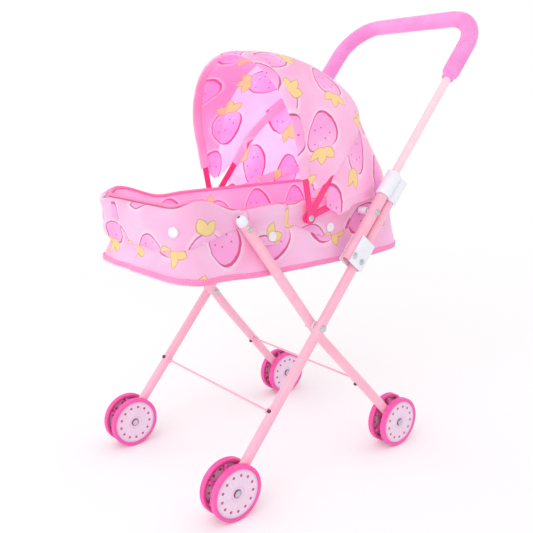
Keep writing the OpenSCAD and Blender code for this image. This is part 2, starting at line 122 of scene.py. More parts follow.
class Sock:
    """One value in a node tree, with arithmetic that adds Math nodes."""

    def __init__(self, graph: Graph, out: bpy.types.NodeSocket) -> None:
        """Wraps an output socket."""
        self.graph = graph
        self.out = out

    def __add__(self, other: Sock | float) -> Sock:
        """Adds."""
        return self.graph.math("ADD", self, other)

    def __radd__(self, other: float) -> Sock:
        """Adds to a number."""
        return self.graph.math("ADD", other, self)

    def __sub__(self, other: Sock | float) -> Sock:
        """Subtracts."""
        return self.graph.math("SUBTRACT", self, other)

    def __rsub__(self, other: float) -> Sock:
        """Subtracts from a number."""
        return self.graph.math("SUBTRACT", other, self)

    def __mul__(self, other: Sock | float) -> Sock:
        """Multiplies."""
        return self.graph.math("MULTIPLY", self, other)

    def __rmul__(self, other: float) -> Sock:
        """Multiplies a number."""
        return self.graph.math("MULTIPLY", other, self)

    def __truediv__(self, other: Sock | float) -> Sock:
        """Divides."""
        return self.graph.math("DIVIDE", self, other)

    def __gt__(self, other: Sock | float) -> Sock:
        """Is 1 where this is the greater."""
        return self.graph.math("GREATER_THAN", self, other)

    def __lt__(self, other: Sock | float) -> Sock:
        """Is 1 where this is the lesser."""
        return self.graph.math("LESS_THAN", self, other)

    def __abs__(self) -> Sock:
        """Drops the sign."""
        return self.graph.math("ABSOLUTE", self)

    def fn(self, operation: str, other: Sock | float | None = None) -> Sock:
        """Applies any other Math operation."""
        return self.graph.math(operation, self, other)

    def step(self, low: float, high: float) -> Sock:
        """Rises from 0 at low to 1 at high, or falls where low is the larger."""
        made = self.graph.node("ShaderNodeMapRange", {"interpolation_type": "SMOOTHSTEP"}, {
            "Value": self,
            "From Min": min(low, high),
            "From Max": max(low, high),
            "To Min": float(low > high),
            "To Max": float(low < high),
        })
        return Sock(self.graph, made.outputs[0])


class Graph:
    """Adds nodes to one shader or geometry tree."""

    def __init__(self, tree: bpy.types.NodeTree) -> None:
        """Takes the tree to fill."""
        self.tree = tree

    def node(
        self, kind: str, settings: dict[str, Any] | None = None, inputs: dict[Any, Any] | None = None
    ) -> bpy.types.Node:
        """Adds a node.

        Args:
            kind: the node's type.
            settings: attributes, set first; "stops" fills a colour ramp.
            inputs: values, links or objects for its sockets, by name, identifier or index.

        Returns:
            The new node.
        """
        made = self.tree.nodes.new(kind)
        for name, value in (settings or {}).items():
            if name == "stops":
                ramp = made.color_ramp.elements
                while len(ramp) < len(value):
                    ramp.new(0.5)
                for element, (place, colour) in zip(ramp, value):
                    element.position = place
                    element.color = (*colour, 1)
            else:
                setattr(made, name, value)
        for key, value in (inputs or {}).items():
            socket = made.inputs[key] if isinstance(key, int) else next(
                s for s in made.inputs if key in (s.identifier, s.name))
            if isinstance(value, Sock):
                value = value.out
            if isinstance(value, bpy.types.NodeSocket):
                self.tree.links.new(value, socket)
            elif isinstance(value, tuple) and socket.type == "RGBA":
                socket.default_value = (*value[:3], 1)
            else:
                socket.default_value = value
        return made

    def sock(
        self,
        kind: str,
        settings: dict[str, Any] | None = None,
        inputs: dict[Any, Any] | None = None,
        out: int | str = 0,
    ) -> Sock:
        """Adds a node and wraps one of its outputs."""
        return Sock(self, self.node(kind, settings, inputs).outputs[out])

    def math(self, operation: str, a: Sock | float, b: Sock | float | None = None) -> Sock:
        """Adds a Math node."""
        inputs = {0: a} if b is None else {0: a, 1: b}
        return self.sock("ShaderNodeMath", {"operation": operation}, inputs)

    def split(self, vector: Sock) -> list[Sock]:
        """Gives a vector's three parts."""
        made = self.node("ShaderNodeSeparateXYZ", None, {0: vector})
        return [Sock(self, out) for out in made.outputs]

    def join(self, x: Sock | float, y: Sock | float, z: Sock | float = 0.0) -> Sock:
        """Makes a vector of three values."""
        return self.sock("ShaderNodeCombineXYZ", None, {0: x, 1: y, 2: z})


class Shader(Graph):
    """The nodes of one material, built towards its surface shader."""

    def __init__(self, name: str) -> None:
        """Starts an empty material."""
        self.material = bpy.data.materials.new(name)
        self.material.use_nodes = True
        super().__init__(self.material.node_tree)
        self.tree.nodes.clear()

    def place(self) -> Sock:
        """The point on the object, in metres."""
        return self.sock("ShaderNodeTexCoord", out="Object")

    def cloth_place(self) -> Sock:
        """The point on the flat cloth, in metres."""
        return self.sock("ShaderNodeUVMap", {"uv_map": "UVMap"})

    def noise(self, at: Sock, size: float, detail: float = 3.0, roughness: float = 0.55) -> Sock:
        """A soft random field from 0 to 1, with features about size metres across."""
        inputs = {"Vector": at, "Scale": 1 / size, "Detail": detail, "Roughness": roughness}
        return self.sock("ShaderNodeTexNoise", None, inputs, 0)

    def mix(self, share: Sock | float, a: Sock | Colour, b: Sock | Colour) -> Sock:
        """Blends two colours, from a at 0 to b at 1."""
        inputs = {"Factor_Float": share, "A_Color": a, "B_Color": b}
        return self.sock("ShaderNodeMix", {"data_type": "RGBA"}, inputs, 2)

    def bump(self, height: Sock, depth: float, strength: float = 1.0) -> Sock:
        """Turns a height from 0 to 1 into a surface normal, depth metres deep."""
        inputs = {"Height": height, "Distance": depth, "Strength": strength}
        return self.sock("ShaderNodeBump", None, inputs)

    def finish(self, **inputs: Any) -> bpy.types.Material:
        """Ends the material with a Principled shader.

        Args:
            inputs: its sockets by name, with underscores for spaces.

        Returns:
            The finished material.
        """
        named = {key.replace("_", " "): value for key, value in inputs.items()}
        surface = self.node("ShaderNodeBsdfPrincipled", None, named)
        self.node("ShaderNodeOutputMaterial", None, {"Surface": surface.outputs[0]})
        return self.material


# ---------------------------------------------------------------- finishes


@dataclass(frozen=True)
class PaintedTube:
    """Gloss powder paint on steel tube: a faint orange peel and slightly cloudy gloss."""

    name: str
    colour: Colour
    shade: Colour
    peel: float = 1.6 * MM

    @cache
    def material(self) -> bpy.types.Material:
        """Builds the paint."""
        s = Shader(self.name)
        at = s.place()
        cloud = s.noise(at, 28 * MM)
        peel = s.noise(at, self.peel, 2)
        scuff = s.noise(at, 5 * MM, 6, 0.7).step(0.62, 0.75)
        return s.finish(
            Base_Color=s.mix(cloud.step(0.3, 0.75) * 0.6 + scuff * 0.15, self.colour, self.shade),
            Roughness=0.27 + cloud * 0.1 + scuff * 0.1,
            Normal=s.bump(peel, 0.05 * MM, 0.5),
            Coat_Weight=0.35,
            Coat_Roughness=0.15,
        )


@dataclass(frozen=True)
class Moulded:
    """Injection-moulded plastic: an even colour, a fine grain and slightly duller patches."""

    name: str
    colour: Colour
    shade: Colour
    rough: float = 0.36
    glow: float = 0.0
    grain: float = 0.5 * MM

    @cache
    def material(self) -> bpy.types.Material:
        """Builds the plastic."""
        s = Shader(self.name)
        at = s.place()
        flow = s.noise(at, 16 * MM, 2)
        grain = s.noise(at, self.grain, 2)
        rub = s.noise(at, 3 * MM, 5, 0.7).step(0.6, 0.78)
        return s.finish(
            Base_Color=s.mix(flow.step(0.3, 0.8) * 0.5, self.colour, self.shade),
            Roughness=self.rough + flow * 0.08 + rub * 0.12,
            Normal=s.bump(grain + rub * 0.4, 0.03 * MM, 0.4),
            Subsurface_Weight=self.glow,
            Subsurface_Radius=(1.0, 0.35, 0.5),
            Subsurface_Scale=3 * MM,
        )


@dataclass(frozen=True)
class PlatedSteel:
    """Bright plated rivets and pins, with fine turning marks and a little tarnish."""

    name: str
    colour: Colour = srgb(205, 207, 212)
    rough: float = 0.16

    @cache
    def material(self) -> bpy.types.Material:
        """Builds the metal."""
        s = Shader(self.name)
        at = s.place()
        tarnish = s.noise(at, 3 * MM, 4).step(0.4, 0.8)
        marks = s.noise(at, 0.4 * MM, 2)
        return s.finish(
            Base_Color=s.mix(tarnish * 0.5, self.colour, srgb(150, 152, 160)),
            Metallic=1.0,
            Roughness=self.rough + tarnish * 0.14,
            Normal=s.bump(marks, 0.02 * MM, 0.4),
        )


@dataclass(frozen=True)
class GripFoam:
    """Closed-cell foam: a soft sheen over fine open pores."""

    name: str
    colour: Colour
    shade: Colour

    @cache
    def material(self) -> bpy.types.Material:
        """Builds the foam."""
        s = Shader(self.name)
        at = s.place()
        cloud = s.noise(at, 22 * MM)
        pores = s.noise(at, 0.7 * MM, 3, 0.7)
        return s.finish(
            Base_Color=s.mix(
                cloud.step(0.3, 0.7) * 0.7 + pores.step(0.55, 0.7) * 0.12, self.colour, self.shade
            ),
            Roughness=0.5 + pores * 0.14,
            Normal=s.bump(pores, 0.12 * MM, 0.5),
            Subsurface_Weight=0.12,
            Subsurface_Radius=(1.0, 0.5, 0.8),
            Subsurface_Scale=2 * MM,
            Sheen_Weight=0.25,
            Sheen_Roughness=0.5,
        )


@dataclass(frozen=True)
class WheelPlate:
    """The printed cover plate of a wheel, drawn in the plate's own flat map: a ring of dots
    near the edge, fine rays and a pale ring round the screw."""

    name: str
    colour: Colour = srgb(236, 208, 232)
    ray: Colour = srgb(246, 226, 242)
    ink: Colour = srgb(206, 62, 122)
    dots: int = 13
    dot_ring: float = 20.8 * MM
    dot_r: float = 1.75 * MM
    edge: float = 25.2 * MM

    @cache
    def material(self) -> bpy.types.Material:
        """Builds the print."""
        s = Shader(self.name)
        across, up, _ = s.split(s.cloth_place())
        radius = (across * across + up * up).fn("SQRT")
        turn = across.fn("ARCTAN2", up)
        share = (turn * (self.dots / math.tau)).fn("FRACT") - 0.5
        off = share * (math.tau / self.dots) * radius
        drop = radius - self.dot_ring
        dot = (off * off + drop * drop).fn("SQRT").step(self.dot_r * 1.1, self.dot_r * 0.9)
        rays = s.noise(s.join(turn * 9.0, radius * 8.0), 0.35, 2).step(0.35, 0.7)
        fine = s.noise(s.join(turn * 40.0, radius * 20.0), 0.5, 2)
        ring = abs(radius - 8.4 * MM).step(0.7 * MM, 0.3 * MM) * 0.5
        band = radius.step(self.edge - 0.5 * MM, self.edge + 0.3 * MM)
        face = s.mix(rays * 0.8, self.colour, self.ray)
        face = s.mix(ring, face, srgb(214, 170, 208))
        face = s.mix(band * 0.55, face, srgb(222, 176, 214))
        return s.finish(
            Base_Color=s.mix(dot, face, self.ink),
            Roughness=0.3 + fine * 0.12,
            Normal=s.bump(fine, 0.03 * MM, 0.4),
            Coat_Weight=0.3,
            Coat_Roughness=0.2,
        )


@dataclass(frozen=True)
class Berry:
    """The printed fruit, in its own frame: +A runs from the tip to the leaves."""

    cell: float = 72 * MM
    half_long: float = 24.5
    half_wide: float = 21.0
    centre: float = -7.5
    taper: float = 0.24
    leaf_long: float = 10.4
    leaf_wide: float = 6.0
    leaf_fan: float = 56.0
    jitter: float = 3.0


@dataclass(frozen=True)
class PrintCloth:
    """Thin printed polyester: berries in staggered, turned cells over a pale ground, with
    a weave and small creases. Its glow is painted light: an emission in the cloth's own colour that stands in
    for the light coming through to a shaded side."""

    name: str
    ground: Colour
    ground_dark: Colour
    tint: Colour = (1.0, 1.0, 1.0)
    tint_share: float = 0.0
    berry: Berry = Berry()
    seed: float = 3.0
    crease: float = 0.5 * MM
    # Strength of the emission that paints light coming through the cloth.
    glow: float = 0.0

    @cache
    def material(self) -> bpy.types.Material:
        """Builds the cloth."""
        s = Shader(self.name)
        flat = s.cloth_place()
        u, v, _ = s.split(flat)
        cloud = s.noise(flat, 90 * MM, 2)
        colour = s.mix(cloud.step(0.35, 0.7), self.ground, self.ground_dark)
        colour = self.draw_berries(s, colour, u, v)
        if self.tint_share:
            colour = s.mix(self.tint_share, colour, self.tint)
        weave = (u * (math.tau / (0.55 * MM))).fn("SINE") * (v * (math.tau / (0.55 * MM))).fn("SINE")
        folds = s.noise(flat, 17 * MM, 3, 0.5)
        small = s.noise(flat, 5 * MM, 3, 0.5)
        height = folds * 0.8 + small * 0.25 + weave * 0.012
        return s.finish(
            Base_Color=colour,
            Roughness=0.62 + small * 0.12,
            Normal=s.bump(height, self.crease * 2.4, 0.7),
            Sheen_Weight=0.2,
            Sheen_Roughness=0.4,
            Subsurface_Weight=0.18,
            Subsurface_Radius=(1.0, 0.6, 0.8),
            Subsurface_Scale=4 * MM,
            # Painted light: this emission stands in for light coming through the thin cloth, though the cloth
            # is no lamp.
            Emission_Color=colour,
            Emission_Strength=self.glow,
        )

    def draw_berries(self, s: Shader, colour: Sock, u: Sock, v: Sock) -> Sock:
        """Prints the fruit over a ground colour.

        Args:
            s: the material's nodes.
            colour: the ground.
            u, v: the place on the flat cloth, in metres.

        Returns:
            The printed colour.
        """
        b = self.berry
        row = (v / b.cell).fn("FLOOR")
        shifted = u / b.cell + row * 0.5 + 0.13
        column = shifted.fn("FLOOR")
        dice = s.node(
            "ShaderNodeTexWhiteNoise",
            {"noise_dimensions": "3D"},
            {"Vector": s.join(column, row, self.seed)},
        )
        chance, aside, ahead = s.split(Sock(s, dice.outputs["Color"]))
        cell = b.cell / MM
        x = (shifted.fn("FRACT") - 0.5) * cell + (aside - 0.5) * b.jitter
        y = ((v / b.cell).fn("FRACT") - 0.5) * cell + (ahead - 0.5) * b.jitter
        turn = chance * math.tau
        cos, sin = turn.fn("COSINE"), turn.fn("SINE")
        along = x * cos + y * sin
        aside = y * cos - x * sin
        wobble = s.noise(s.join(u, v), 9 * MM, 1) * 0.1 - 0.05

        def egg(shift_along: float, shift_aside: float) -> Sock:
            """The fruit's outline as a distance: 1 on the line, less inside."""
            p = (along - b.centre - shift_along) / b.half_long
            q = (aside - shift_aside) / b.half_wide / (1.0 + p * b.taper)
            return (p * p + q * q).fn("SQRT") + wobble

        body = egg(0.0, 0.0)
        inside = body.step(1.02, 0.985)
        halo = body.step(1.28, 1.02) * 0.6
        crescent = inside * egg(1.6, 3.0).step(0.985, 1.02)
        line = abs(body - 1.0).step(0.05, 0.02) * (aside * 0.06 + 0.75).step(0.2, 0.8)
        flesh = s.mix((along * 0.03 + 0.5).step(0.0, 1.0), srgb(253, 164, 222), srgb(255, 186, 232))
        colour = s.mix(halo, colour, srgb(255, 228, 244))
        colour = s.mix(inside, colour, flesh)
        seeds = self.dots(s, along, aside, 7.6, 1.05, 0.45, 1.0) * body.step(0.8, 0.7)
        lights = self.dots(s, along, aside, 11.0, 1.25, 0.4, 7.0) * body.step(0.9, 0.8)
        colour = s.mix(lights * 0.8, colour, srgb(255, 222, 250))
        colour = s.mix(seeds * 0.9, colour, srgb(190, 62, 140))
        colour = s.mix(crescent, colour, srgb(222, 82, 142))
        colour = s.mix(line * 0.9, colour, srgb(205, 76, 138))
        fans = [self.leaf(along, aside, math.radians(b.leaf_fan * k + 8)) for k in (-1, 0, 1)]
        keep_side = (chance * 7.3).fn("FRACT").step(0.3, 0.32)
        fans[2] = fans[2] + (1.0 - keep_side) * 4.0
        leaf = fans[0].fn("MINIMUM", fans[1]).fn("MINIMUM", fans[2])
        colour = s.mix(leaf.step(1.02, 0.96), colour, srgb(250, 214, 146))
        return s.mix(abs(leaf - 0.96).step(0.12, 0.05) * 0.85, colour, srgb(196, 150, 104))

    def leaf(self, along: Sock, aside: Sock, angle: float) -> Sock:
        """One pointed leaf as a distance: 1 on its edge, less inside.

        Args:
            along, aside: the place in the fruit's frame, in millimetres.
            angle: the leaf's slope from the fruit's axis.

        Returns:
            The distance.
        """
        b = self.berry
        root = b.centre + b.half_long * 0.86
        x = along - root
        p = x * math.cos(angle) + aside * math.sin(angle) - b.leaf_long
        q = aside * math.cos(angle) - x * math.sin(angle)
        p = p / b.leaf_long
        return p * p + abs(q) / b.leaf_wide

    def dots(
        self, s: Shader, along: Sock, aside: Sock, gap: float, size: float, share: float, seed: float
    ) -> Sock:
        """Small round marks scattered over the fruit.

        Args:
            s: the material's nodes.
            along, aside: the place in the fruit's frame, in millimetres.
            gap, size: the spacing and radius of the marks.
            share: how many places hold one, from 0 to 1.
            seed: which scatter.

        Returns:
            1 on a mark, 0 off it.
        """
        row = (along / gap).fn("FLOOR")
        shifted = aside / gap + row * 0.5
        dice = s.node("ShaderNodeTexWhiteNoise", {"noise_dimensions": "3D"},
                      {"Vector": s.join(row, shifted.fn("FLOOR"), seed)})
        keep, jx, jy = s.split(Sock(s, dice.outputs["Color"]))
        x = ((along / gap).fn("FRACT") - 0.5) * gap + (jx - 0.5) * (gap * 0.4)
        y = (shifted.fn("FRACT") - 0.5) * gap + (jy - 0.5) * (gap * 0.4)
        return (x * x + y * y).fn("SQRT").step(size * 1.15, size * 0.8) * (keep < share)


@dataclass(frozen=True)
class PlainCloth:
    """Plain pink binding tape: a ribbed weave with a slight pucker along it."""

    name: str
    colour: Colour
    shade: Colour
    rib: float = 1.1 * MM

    @cache
    def material(self) -> bpy.types.Material:
        """Builds the tape."""
        s = Shader(self.name)
        flat = s.cloth_place()
        u, _, _ = s.split(flat)
        cloud = s.noise(flat, 30 * MM, 3)
        pucker = s.noise(flat, 6 * MM, 3)
        ribs = (u * (math.tau / self.rib)).fn("SINE") * 0.04
        return s.finish(
            Base_Color=s.mix(cloud.step(0.3, 0.75) * 0.8, self.colour, self.shade),
            Roughness=0.6 + pucker * 0.12,
            Normal=s.bump(pucker + ribs, 0.7 * MM, 0.6),
            Sheen_Weight=0.25,
            Sheen_Roughness=0.4,
        )


class Finishes(Enum):
    """Every finish on the stroller."""

    LEG_PAINT = PaintedTube("leg_paint", srgb(252, 188, 208), srgb(250, 172, 198))
    HANDLE_PAINT = PaintedTube("handle_paint", srgb(254, 222, 232), srgb(252, 206, 222))
    STEEL = PlatedSteel("plated_steel")
    DARK_SCREW = PlatedSteel("dark_screw_metal", srgb(90, 84, 92), 0.3)
    WHITE_PLASTIC = Moulded("white_plastic_moulding", srgb(242, 243, 251), srgb(226, 230, 244), 0.34, 0.15)
    WHEEL_PLASTIC = Moulded("wheel_plastic_moulding", srgb(255, 96, 182), srgb(255, 66, 160), 0.3, 0.3)
    BOW_PLASTIC = Moulded("bow_plastic_moulding", srgb(255, 62, 142), srgb(255, 44, 126), 0.34, 0.2)
    BOARD = Moulded("board_sheet", srgb(246, 236, 242), srgb(236, 222, 232), 0.55)
    GRIP = GripFoam("grip_foam_sleeve", srgb(250, 160, 226), srgb(248, 138, 212))
    WHEEL_PRINT = WheelPlate("wheel_plate_print")
    PRINT = PrintCloth("berry_print_cloth", srgb(255, 176, 218), srgb(254, 198, 234))
    # A paler copy of the print for the hood's inner side: its paler ground and its glow are painted light
    # coming through the hood.
    HOOD_INSIDE = PrintCloth("berry_print_inside", srgb(255, 206, 236), srgb(254, 220, 244), glow=0.34)
    # A pinker, darker copy of the print for the inside of the hood's front edge: its colour is painted shade
    # and its glow is painted light coming through.
    FACING = PrintCloth(
        "berry_print_facing", srgb(255, 156, 204), srgb(255, 186, 222), srgb(255, 110, 176), 0.2,
        crease=1.1 * MM, glow=0.3,
    )
    # The lining's glow is painted light coming through the thin cloth into shaded places; its ground was also
    # set lighter to brighten those places.
    LINING = PrintCloth(
        "berry_print_lining", srgb(255, 192, 226), srgb(255, 172, 212), srgb(255, 140, 194), 0.1, seed=11.0,
        glow=0.24,
    )
    BINDING = PlainCloth("pink_binding_tape", srgb(255, 150, 200), srgb(252, 130, 188))
    PALE_BINDING = PlainCloth("pale_binding_tape", srgb(255, 186, 222), srgb(254, 170, 212))

    def material(self) -> bpy.types.Material:
        """The finish's material, built once."""
        return self.value.material()


# ---------------------------------------------------------------- meshes


def add_object(name: str, mesh: bpy.types.Mesh) -> bpy.types.Object:
    """Puts a mesh into the scene as an object at the origin."""
    made = bpy.data.objects.new(name, mesh)
    bpy.context.scene.collection.objects.link(made)
    return made


def shape(
    name: str, points: Sequence[Vector], faces: Sequence[Sequence[int]], finish: Finishes | None = None
) -> bpy.types.Object:
    """Makes a smooth mesh object of points and faces.

    Args:
        name: the object's name.
        points, faces: its corners and the corners of each face.
        finish: its finish, if it is a finished piece.

    Returns:
        The object, with its faces pointing outwards.
    """
    mesh = bpy.data.meshes.new(name)
    mesh.from_pydata([tuple(p) for p in points], [], [tuple(f) for f in faces])
    work = bmesh.new()
    work.from_mesh(mesh)
    bmesh.ops.remove_doubles(work, verts=work.verts, dist=1e-7)
    bmesh.ops.recalc_face_normals(work, faces=work.faces)
    work.to_mesh(mesh)
    work.free()
    mesh.shade_smooth()
    if finish:
        mesh.materials.append(finish.material())
    return add_object(name, mesh)


def joined(name: str, parts: Sequence[bpy.types.Object]) -> bpy.types.Object:
    """Makes one object of several, keeping their finishes and flat maps.

    Args:
        name: the new object's name.
        parts: the objects, which are used up.

    Returns:
        The object that holds them all.
    """
    for part in parts:
        part.select_set(True)
    bpy.context.view_layer.objects.active = parts[0]
    with bpy.context.temp_override(
        active_object=parts[0], selected_objects=list(parts), selected_editable_objects=list(parts)
    ):
        bpy.ops.object.join()
    parts[0].name = parts[0].data.name = name
    parts[0].select_set(False)
    return parts[0]


def lathe(profile: Sequence[tuple[float, float]], sides: int = 64) -> tuple[list[Vector], list[list[int]]]:
    """Turns a closed outline about the X axis.

    Args:
        profile: (distance along X, radius) corners, in order round the outline.
        sides: the number of steps round the axis.

    Returns:
        The points and faces.
    """
    points = [
        Vector((x, r * math.cos(math.tau * k / sides), r * math.sin(math.tau * k / sides)))
        for k in range(sides) for x, r in profile
    ]
    size = len(profile)
    faces = []
    for k in range(sides):
        for i in range(size):
            a, b = k * size + i, k * size + (i + 1) % size
            c, d = ((k + 1) % sides) * size + (i + 1) % size, ((k + 1) % sides) * size + i
            faces.append([a, b, c, d])
    return points, faces


def stacked(rings: int, sides: int) -> list[list[int]]:
    """The faces of a stack of rings of points, with both ends closed.

    Args:
        rings: how many rings there are.
        sides: the points in each.

    Returns:
        The corners of each face.
    """
    faces = [
        [i * sides + k, i * sides + (k + 1) % sides, (i + 1) * sides + (k + 1) % sides, (i + 1) * sides + k]
        for i in range(rings - 1)
        for k in range(sides)
    ]
    return faces + [list(range(sides)), list(range((rings - 1) * sides, rings * sides))]


@dataclass
class Weave:
    """A sheet of cloth as rows and columns of points, each with its place on the flat cut."""

    rows: int
    cols: int
    place: Callable[[int, int], Vector]
    flat: Callable[[int, int], tuple[float, float]]
    ring_cols: bool = False
    ring_rows: bool = False
    inner: Callable[[int, int], Finishes] | None = None

    def make(
        self, name: str, finish: Finishes, thickness: float = 0.7 * MM, finer: int = 1
    ) -> bpy.types.Object:
        """Builds the sheet.

        Args:
            name: the object's name.
            finish: the cloth.
            thickness: the sheet's thickness; 0 for a closed form.
            finer: how many times the mesh is subdivided.

        Returns:
            The finished object.
        """
        points = [self.place(i, j) for i in range(self.rows) for j in range(self.cols)]
        faces, maps = [], []
        for i in range(self.rows if self.ring_rows else self.rows - 1):
            for j in range(self.cols if self.ring_cols else self.cols - 1):
                corners = [(i, j), (i, j + 1), (i + 1, j + 1), (i + 1, j)]
                faces.append([(a % self.rows) * self.cols + b % self.cols for a, b in corners])
                maps.append([self.flat(a, b) for a, b in corners])
        mesh = bpy.data.meshes.new(name)
        mesh.from_pydata([tuple(p) for p in points], [], faces)
        layer = mesh.uv_layers.new(name="UVMap")
        for face, spots in zip(mesh.polygons, maps):
            for loop, spot in zip(face.loop_indices, spots):
                layer.data[loop].uv = spot
        if not thickness:
            work = bmesh.new()
            work.from_mesh(mesh)
            bmesh.ops.recalc_face_normals(work, faces=work.faces)
            work.to_mesh(mesh)
            work.free()
        mesh.shade_smooth()
        mesh.materials.append(finish.material())
        made = add_object(name, mesh)
        if finer:
            made.modifiers.new("finer", "SUBSURF").levels = finer
            made.modifiers["finer"].render_levels = finer
        if thickness:
            wall = made.modifiers.new("thickness", "SOLIDIFY")
            wall.thickness = thickness
            wall.offset = 0.0
            if self.inner:
                self.line(mesh, finish, wall)
        return made

    def line(self, mesh: bpy.types.Mesh, finish: Finishes, wall: bpy.types.Modifier) -> None:
        """Gives the sheet's inner side finishes of its own.

        Args:
            mesh: the sheet, whose faces stand in rows.
            finish: the outer side's cloth.
            wall: the modifier that gives the sheet its thickness.
        """
        kinds = [self.inner(*divmod(k, self.cols - 1)) for k in range(len(mesh.polygons))]
        names = sorted(set(kinds), key=lambda kind: kind.name)
        for _ in names[1:]:
            mesh.materials.append(finish.material())
        for kind in names:
            mesh.materials.append(kind.material())
        for face, kind in zip(mesh.polygons, kinds):
            face.material_index = names.index(kind)
        wall.material_offset = len(names)


def soften(node: bpy.types.Object, name: str, finish: Finishes, width: float) -> bpy.types.Object:
    """Copies a frame part and rounds its edges, as a moulding or a stamped part has them.

    Args:
        node: the frame part.
        name: the new piece's name.
        finish: its finish.
        width: the width of the rounding.

    Returns:
        The rounded copy.
    """
    work = bmesh.new()
    work.from_mesh(node.data)
    bmesh.ops.remove_doubles(work, verts=work.verts, dist=1e-6)
    bmesh.ops.dissolve_limit(work, angle_limit=math.radians(0.6), verts=work.verts, edges=work.edges)
    bmesh.ops.recalc_face_normals(work, faces=work.faces)
    mesh = bpy.data.meshes.new(name)
    work.to_mesh(mesh)
    work.free()
    mesh.materials.append(finish.material())
    mesh.shade_smooth()
    made = add_object(name, mesh)
    bevel = made.modifiers.new("edges", "BEVEL")
    bevel.width = width
    bevel.segments = 3
    bevel.limit_method = "ANGLE"
    bevel.angle_limit = math.radians(35)
    bevel.harden_normals = True
    return made


# ---------------------------------------------------------------- geometry trees


class Pattern(Graph):
    """A Geometry Nodes tree with named inputs, for shapes that repeat or follow a path."""

    def __init__(self, name: str, inputs: dict[str, str]) -> None:
        """Starts the tree.

        Args:
            name: the tree's name.
            inputs: the named inputs after the geometry, each with its socket type.
        """
        super().__init__(bpy.data.node_groups.new(name, "GeometryNodeTree"))
        face = self.tree.interface
        face.new_socket(name="Geometry", in_out="INPUT", socket_type="NodeSocketGeometry")
        for key, kind in inputs.items():
            face.new_socket(name=key, in_out="INPUT", socket_type=kind)
        face.new_socket(name="Geometry", in_out="OUTPUT", socket_type="NodeSocketGeometry")
        self.given = self.tree.nodes.new("NodeGroupInput")

    def value(self, name: str) -> Sock:
        """One of the tree's inputs."""
        return Sock(self, self.given.outputs[name])

    def close(self, geometry: Sock) -> None:
        """Ends the tree: real copies, smooth, in the given finish."""
        real = self.sock("GeometryNodeRealizeInstances", None, {0: geometry})
        soft = self.sock("GeometryNodeSetShadeSmooth", None, {0: real})
        done = self.sock("GeometryNodeSetMaterial", None, {0: soft, "Material": self.value("Finish")})
        self.node("NodeGroupOutput", None, {0: done})

    def run(self, source: bpy.types.Object, name: str, **values: Any) -> bpy.types.Object:
        """Runs the tree on a source shape and keeps the result as a plain mesh.

        Args:
            source: the object that the tree starts from, which is used up.
            name: the new object's name.
            values: the tree's inputs by name, with underscores for spaces.

        Returns:
            The plain object.
        """
        modifier = source.modifiers.new("pattern", "NODES")
        modifier.node_group = self.tree
        keys = {
            item.name: item.identifier for item in self.tree.interface.items_tree if item.in_out == "INPUT"
        }
        for key, value in values.items():
            modifier[keys[key.replace("_", " ")]] = value
        graph = bpy.context.evaluated_depsgraph_get()
        graph.update()
        mesh = bpy.data.meshes.new_from_object(source.evaluated_get(graph))
        mesh.name = name
        bpy.data.objects.remove(source)
        return add_object(name, mesh)


@cache
def ring_pattern() -> Pattern:
    """Copies of a shape, set evenly round the X axis."""
    made = Pattern("spoke ring", {"Count": "NodeSocketInt", "Finish": "NodeSocketMaterial"})
    count = made.value("Count")
    points = made.sock("GeometryNodeMeshLine", None, {"Count": count, "Offset": (0.0, 0.0, 0.0)})
    index = made.sock("GeometryNodeInputIndex")
    turn = made.sock("FunctionNodeEulerToRotation", None, {0: made.join(index * math.tau / count, 0.0)})
    inputs = {"Points": points, "Instance": made.value("Geometry"), "Rotation": turn}
    made.close(made.sock("GeometryNodeInstanceOnPoints", None, inputs))
    return made


@cache
def stamp_pattern() -> Pattern:
    """Copies of a small part at given points, each turned to the point's own facing."""
    kinds = {"Part": "NodeSocketObject", "Size": "NodeSocketFloat", "Finish": "NodeSocketMaterial"}
    made = Pattern("set parts", kinds)
    part = made.sock("GeometryNodeObjectInfo", None, {"Object": made.value("Part")}, "Geometry")
    facing = made.sock("GeometryNodeInputNamedAttribute", {"data_type": "FLOAT_VECTOR"}, {"Name": "facing"})
    turn = made.sock("FunctionNodeAlignRotationToVector", {"axis": "X"}, {"Vector": facing})
    size = made.value("Size")
    inputs = {
        "Points": made.value("Geometry"),
        "Instance": part,
        "Rotation": turn,
        "Scale": made.join(size, size, size),
    }
    made.close(made.sock("GeometryNodeInstanceOnPoints", None, inputs))
    return made


@cache
def stitch_pattern() -> Pattern:
    """Copies of a stitch along a seam, lying along it and facing out of the cloth."""
    kinds = {"Part": "NodeSocketObject", "Gap": "NodeSocketFloat", "Finish": "NodeSocketMaterial"}
    made = Pattern("sewn seam", kinds)
    part = made.sock("GeometryNodeObjectInfo", None, {"Object": made.value("Part")}, "Geometry")
    seam = made.sock("GeometryNodeMeshToCurve", None, {0: made.value("Geometry")})
    even = made.sock(
        "GeometryNodeResampleCurve", {"mode": "LENGTH"}, {"Curve": seam, "Length": made.value("Gap")}
    )
    tangent = made.sock("GeometryNodeInputTangent")
    facing = made.sock("GeometryNodeInputNamedAttribute", {"data_type": "FLOAT_VECTOR"}, {"Name": "facing"})
    turn = made.sock(
        "FunctionNodeAxesToRotation", {"primary_axis": "X", "secondary_axis": "Z"}, {0: tangent, 1: facing}
    )
    made.close(
        made.sock(
            "GeometryNodeInstanceOnPoints", None, {"Points": even, "Instance": part, "Rotation": turn}
        )
    )
    return made


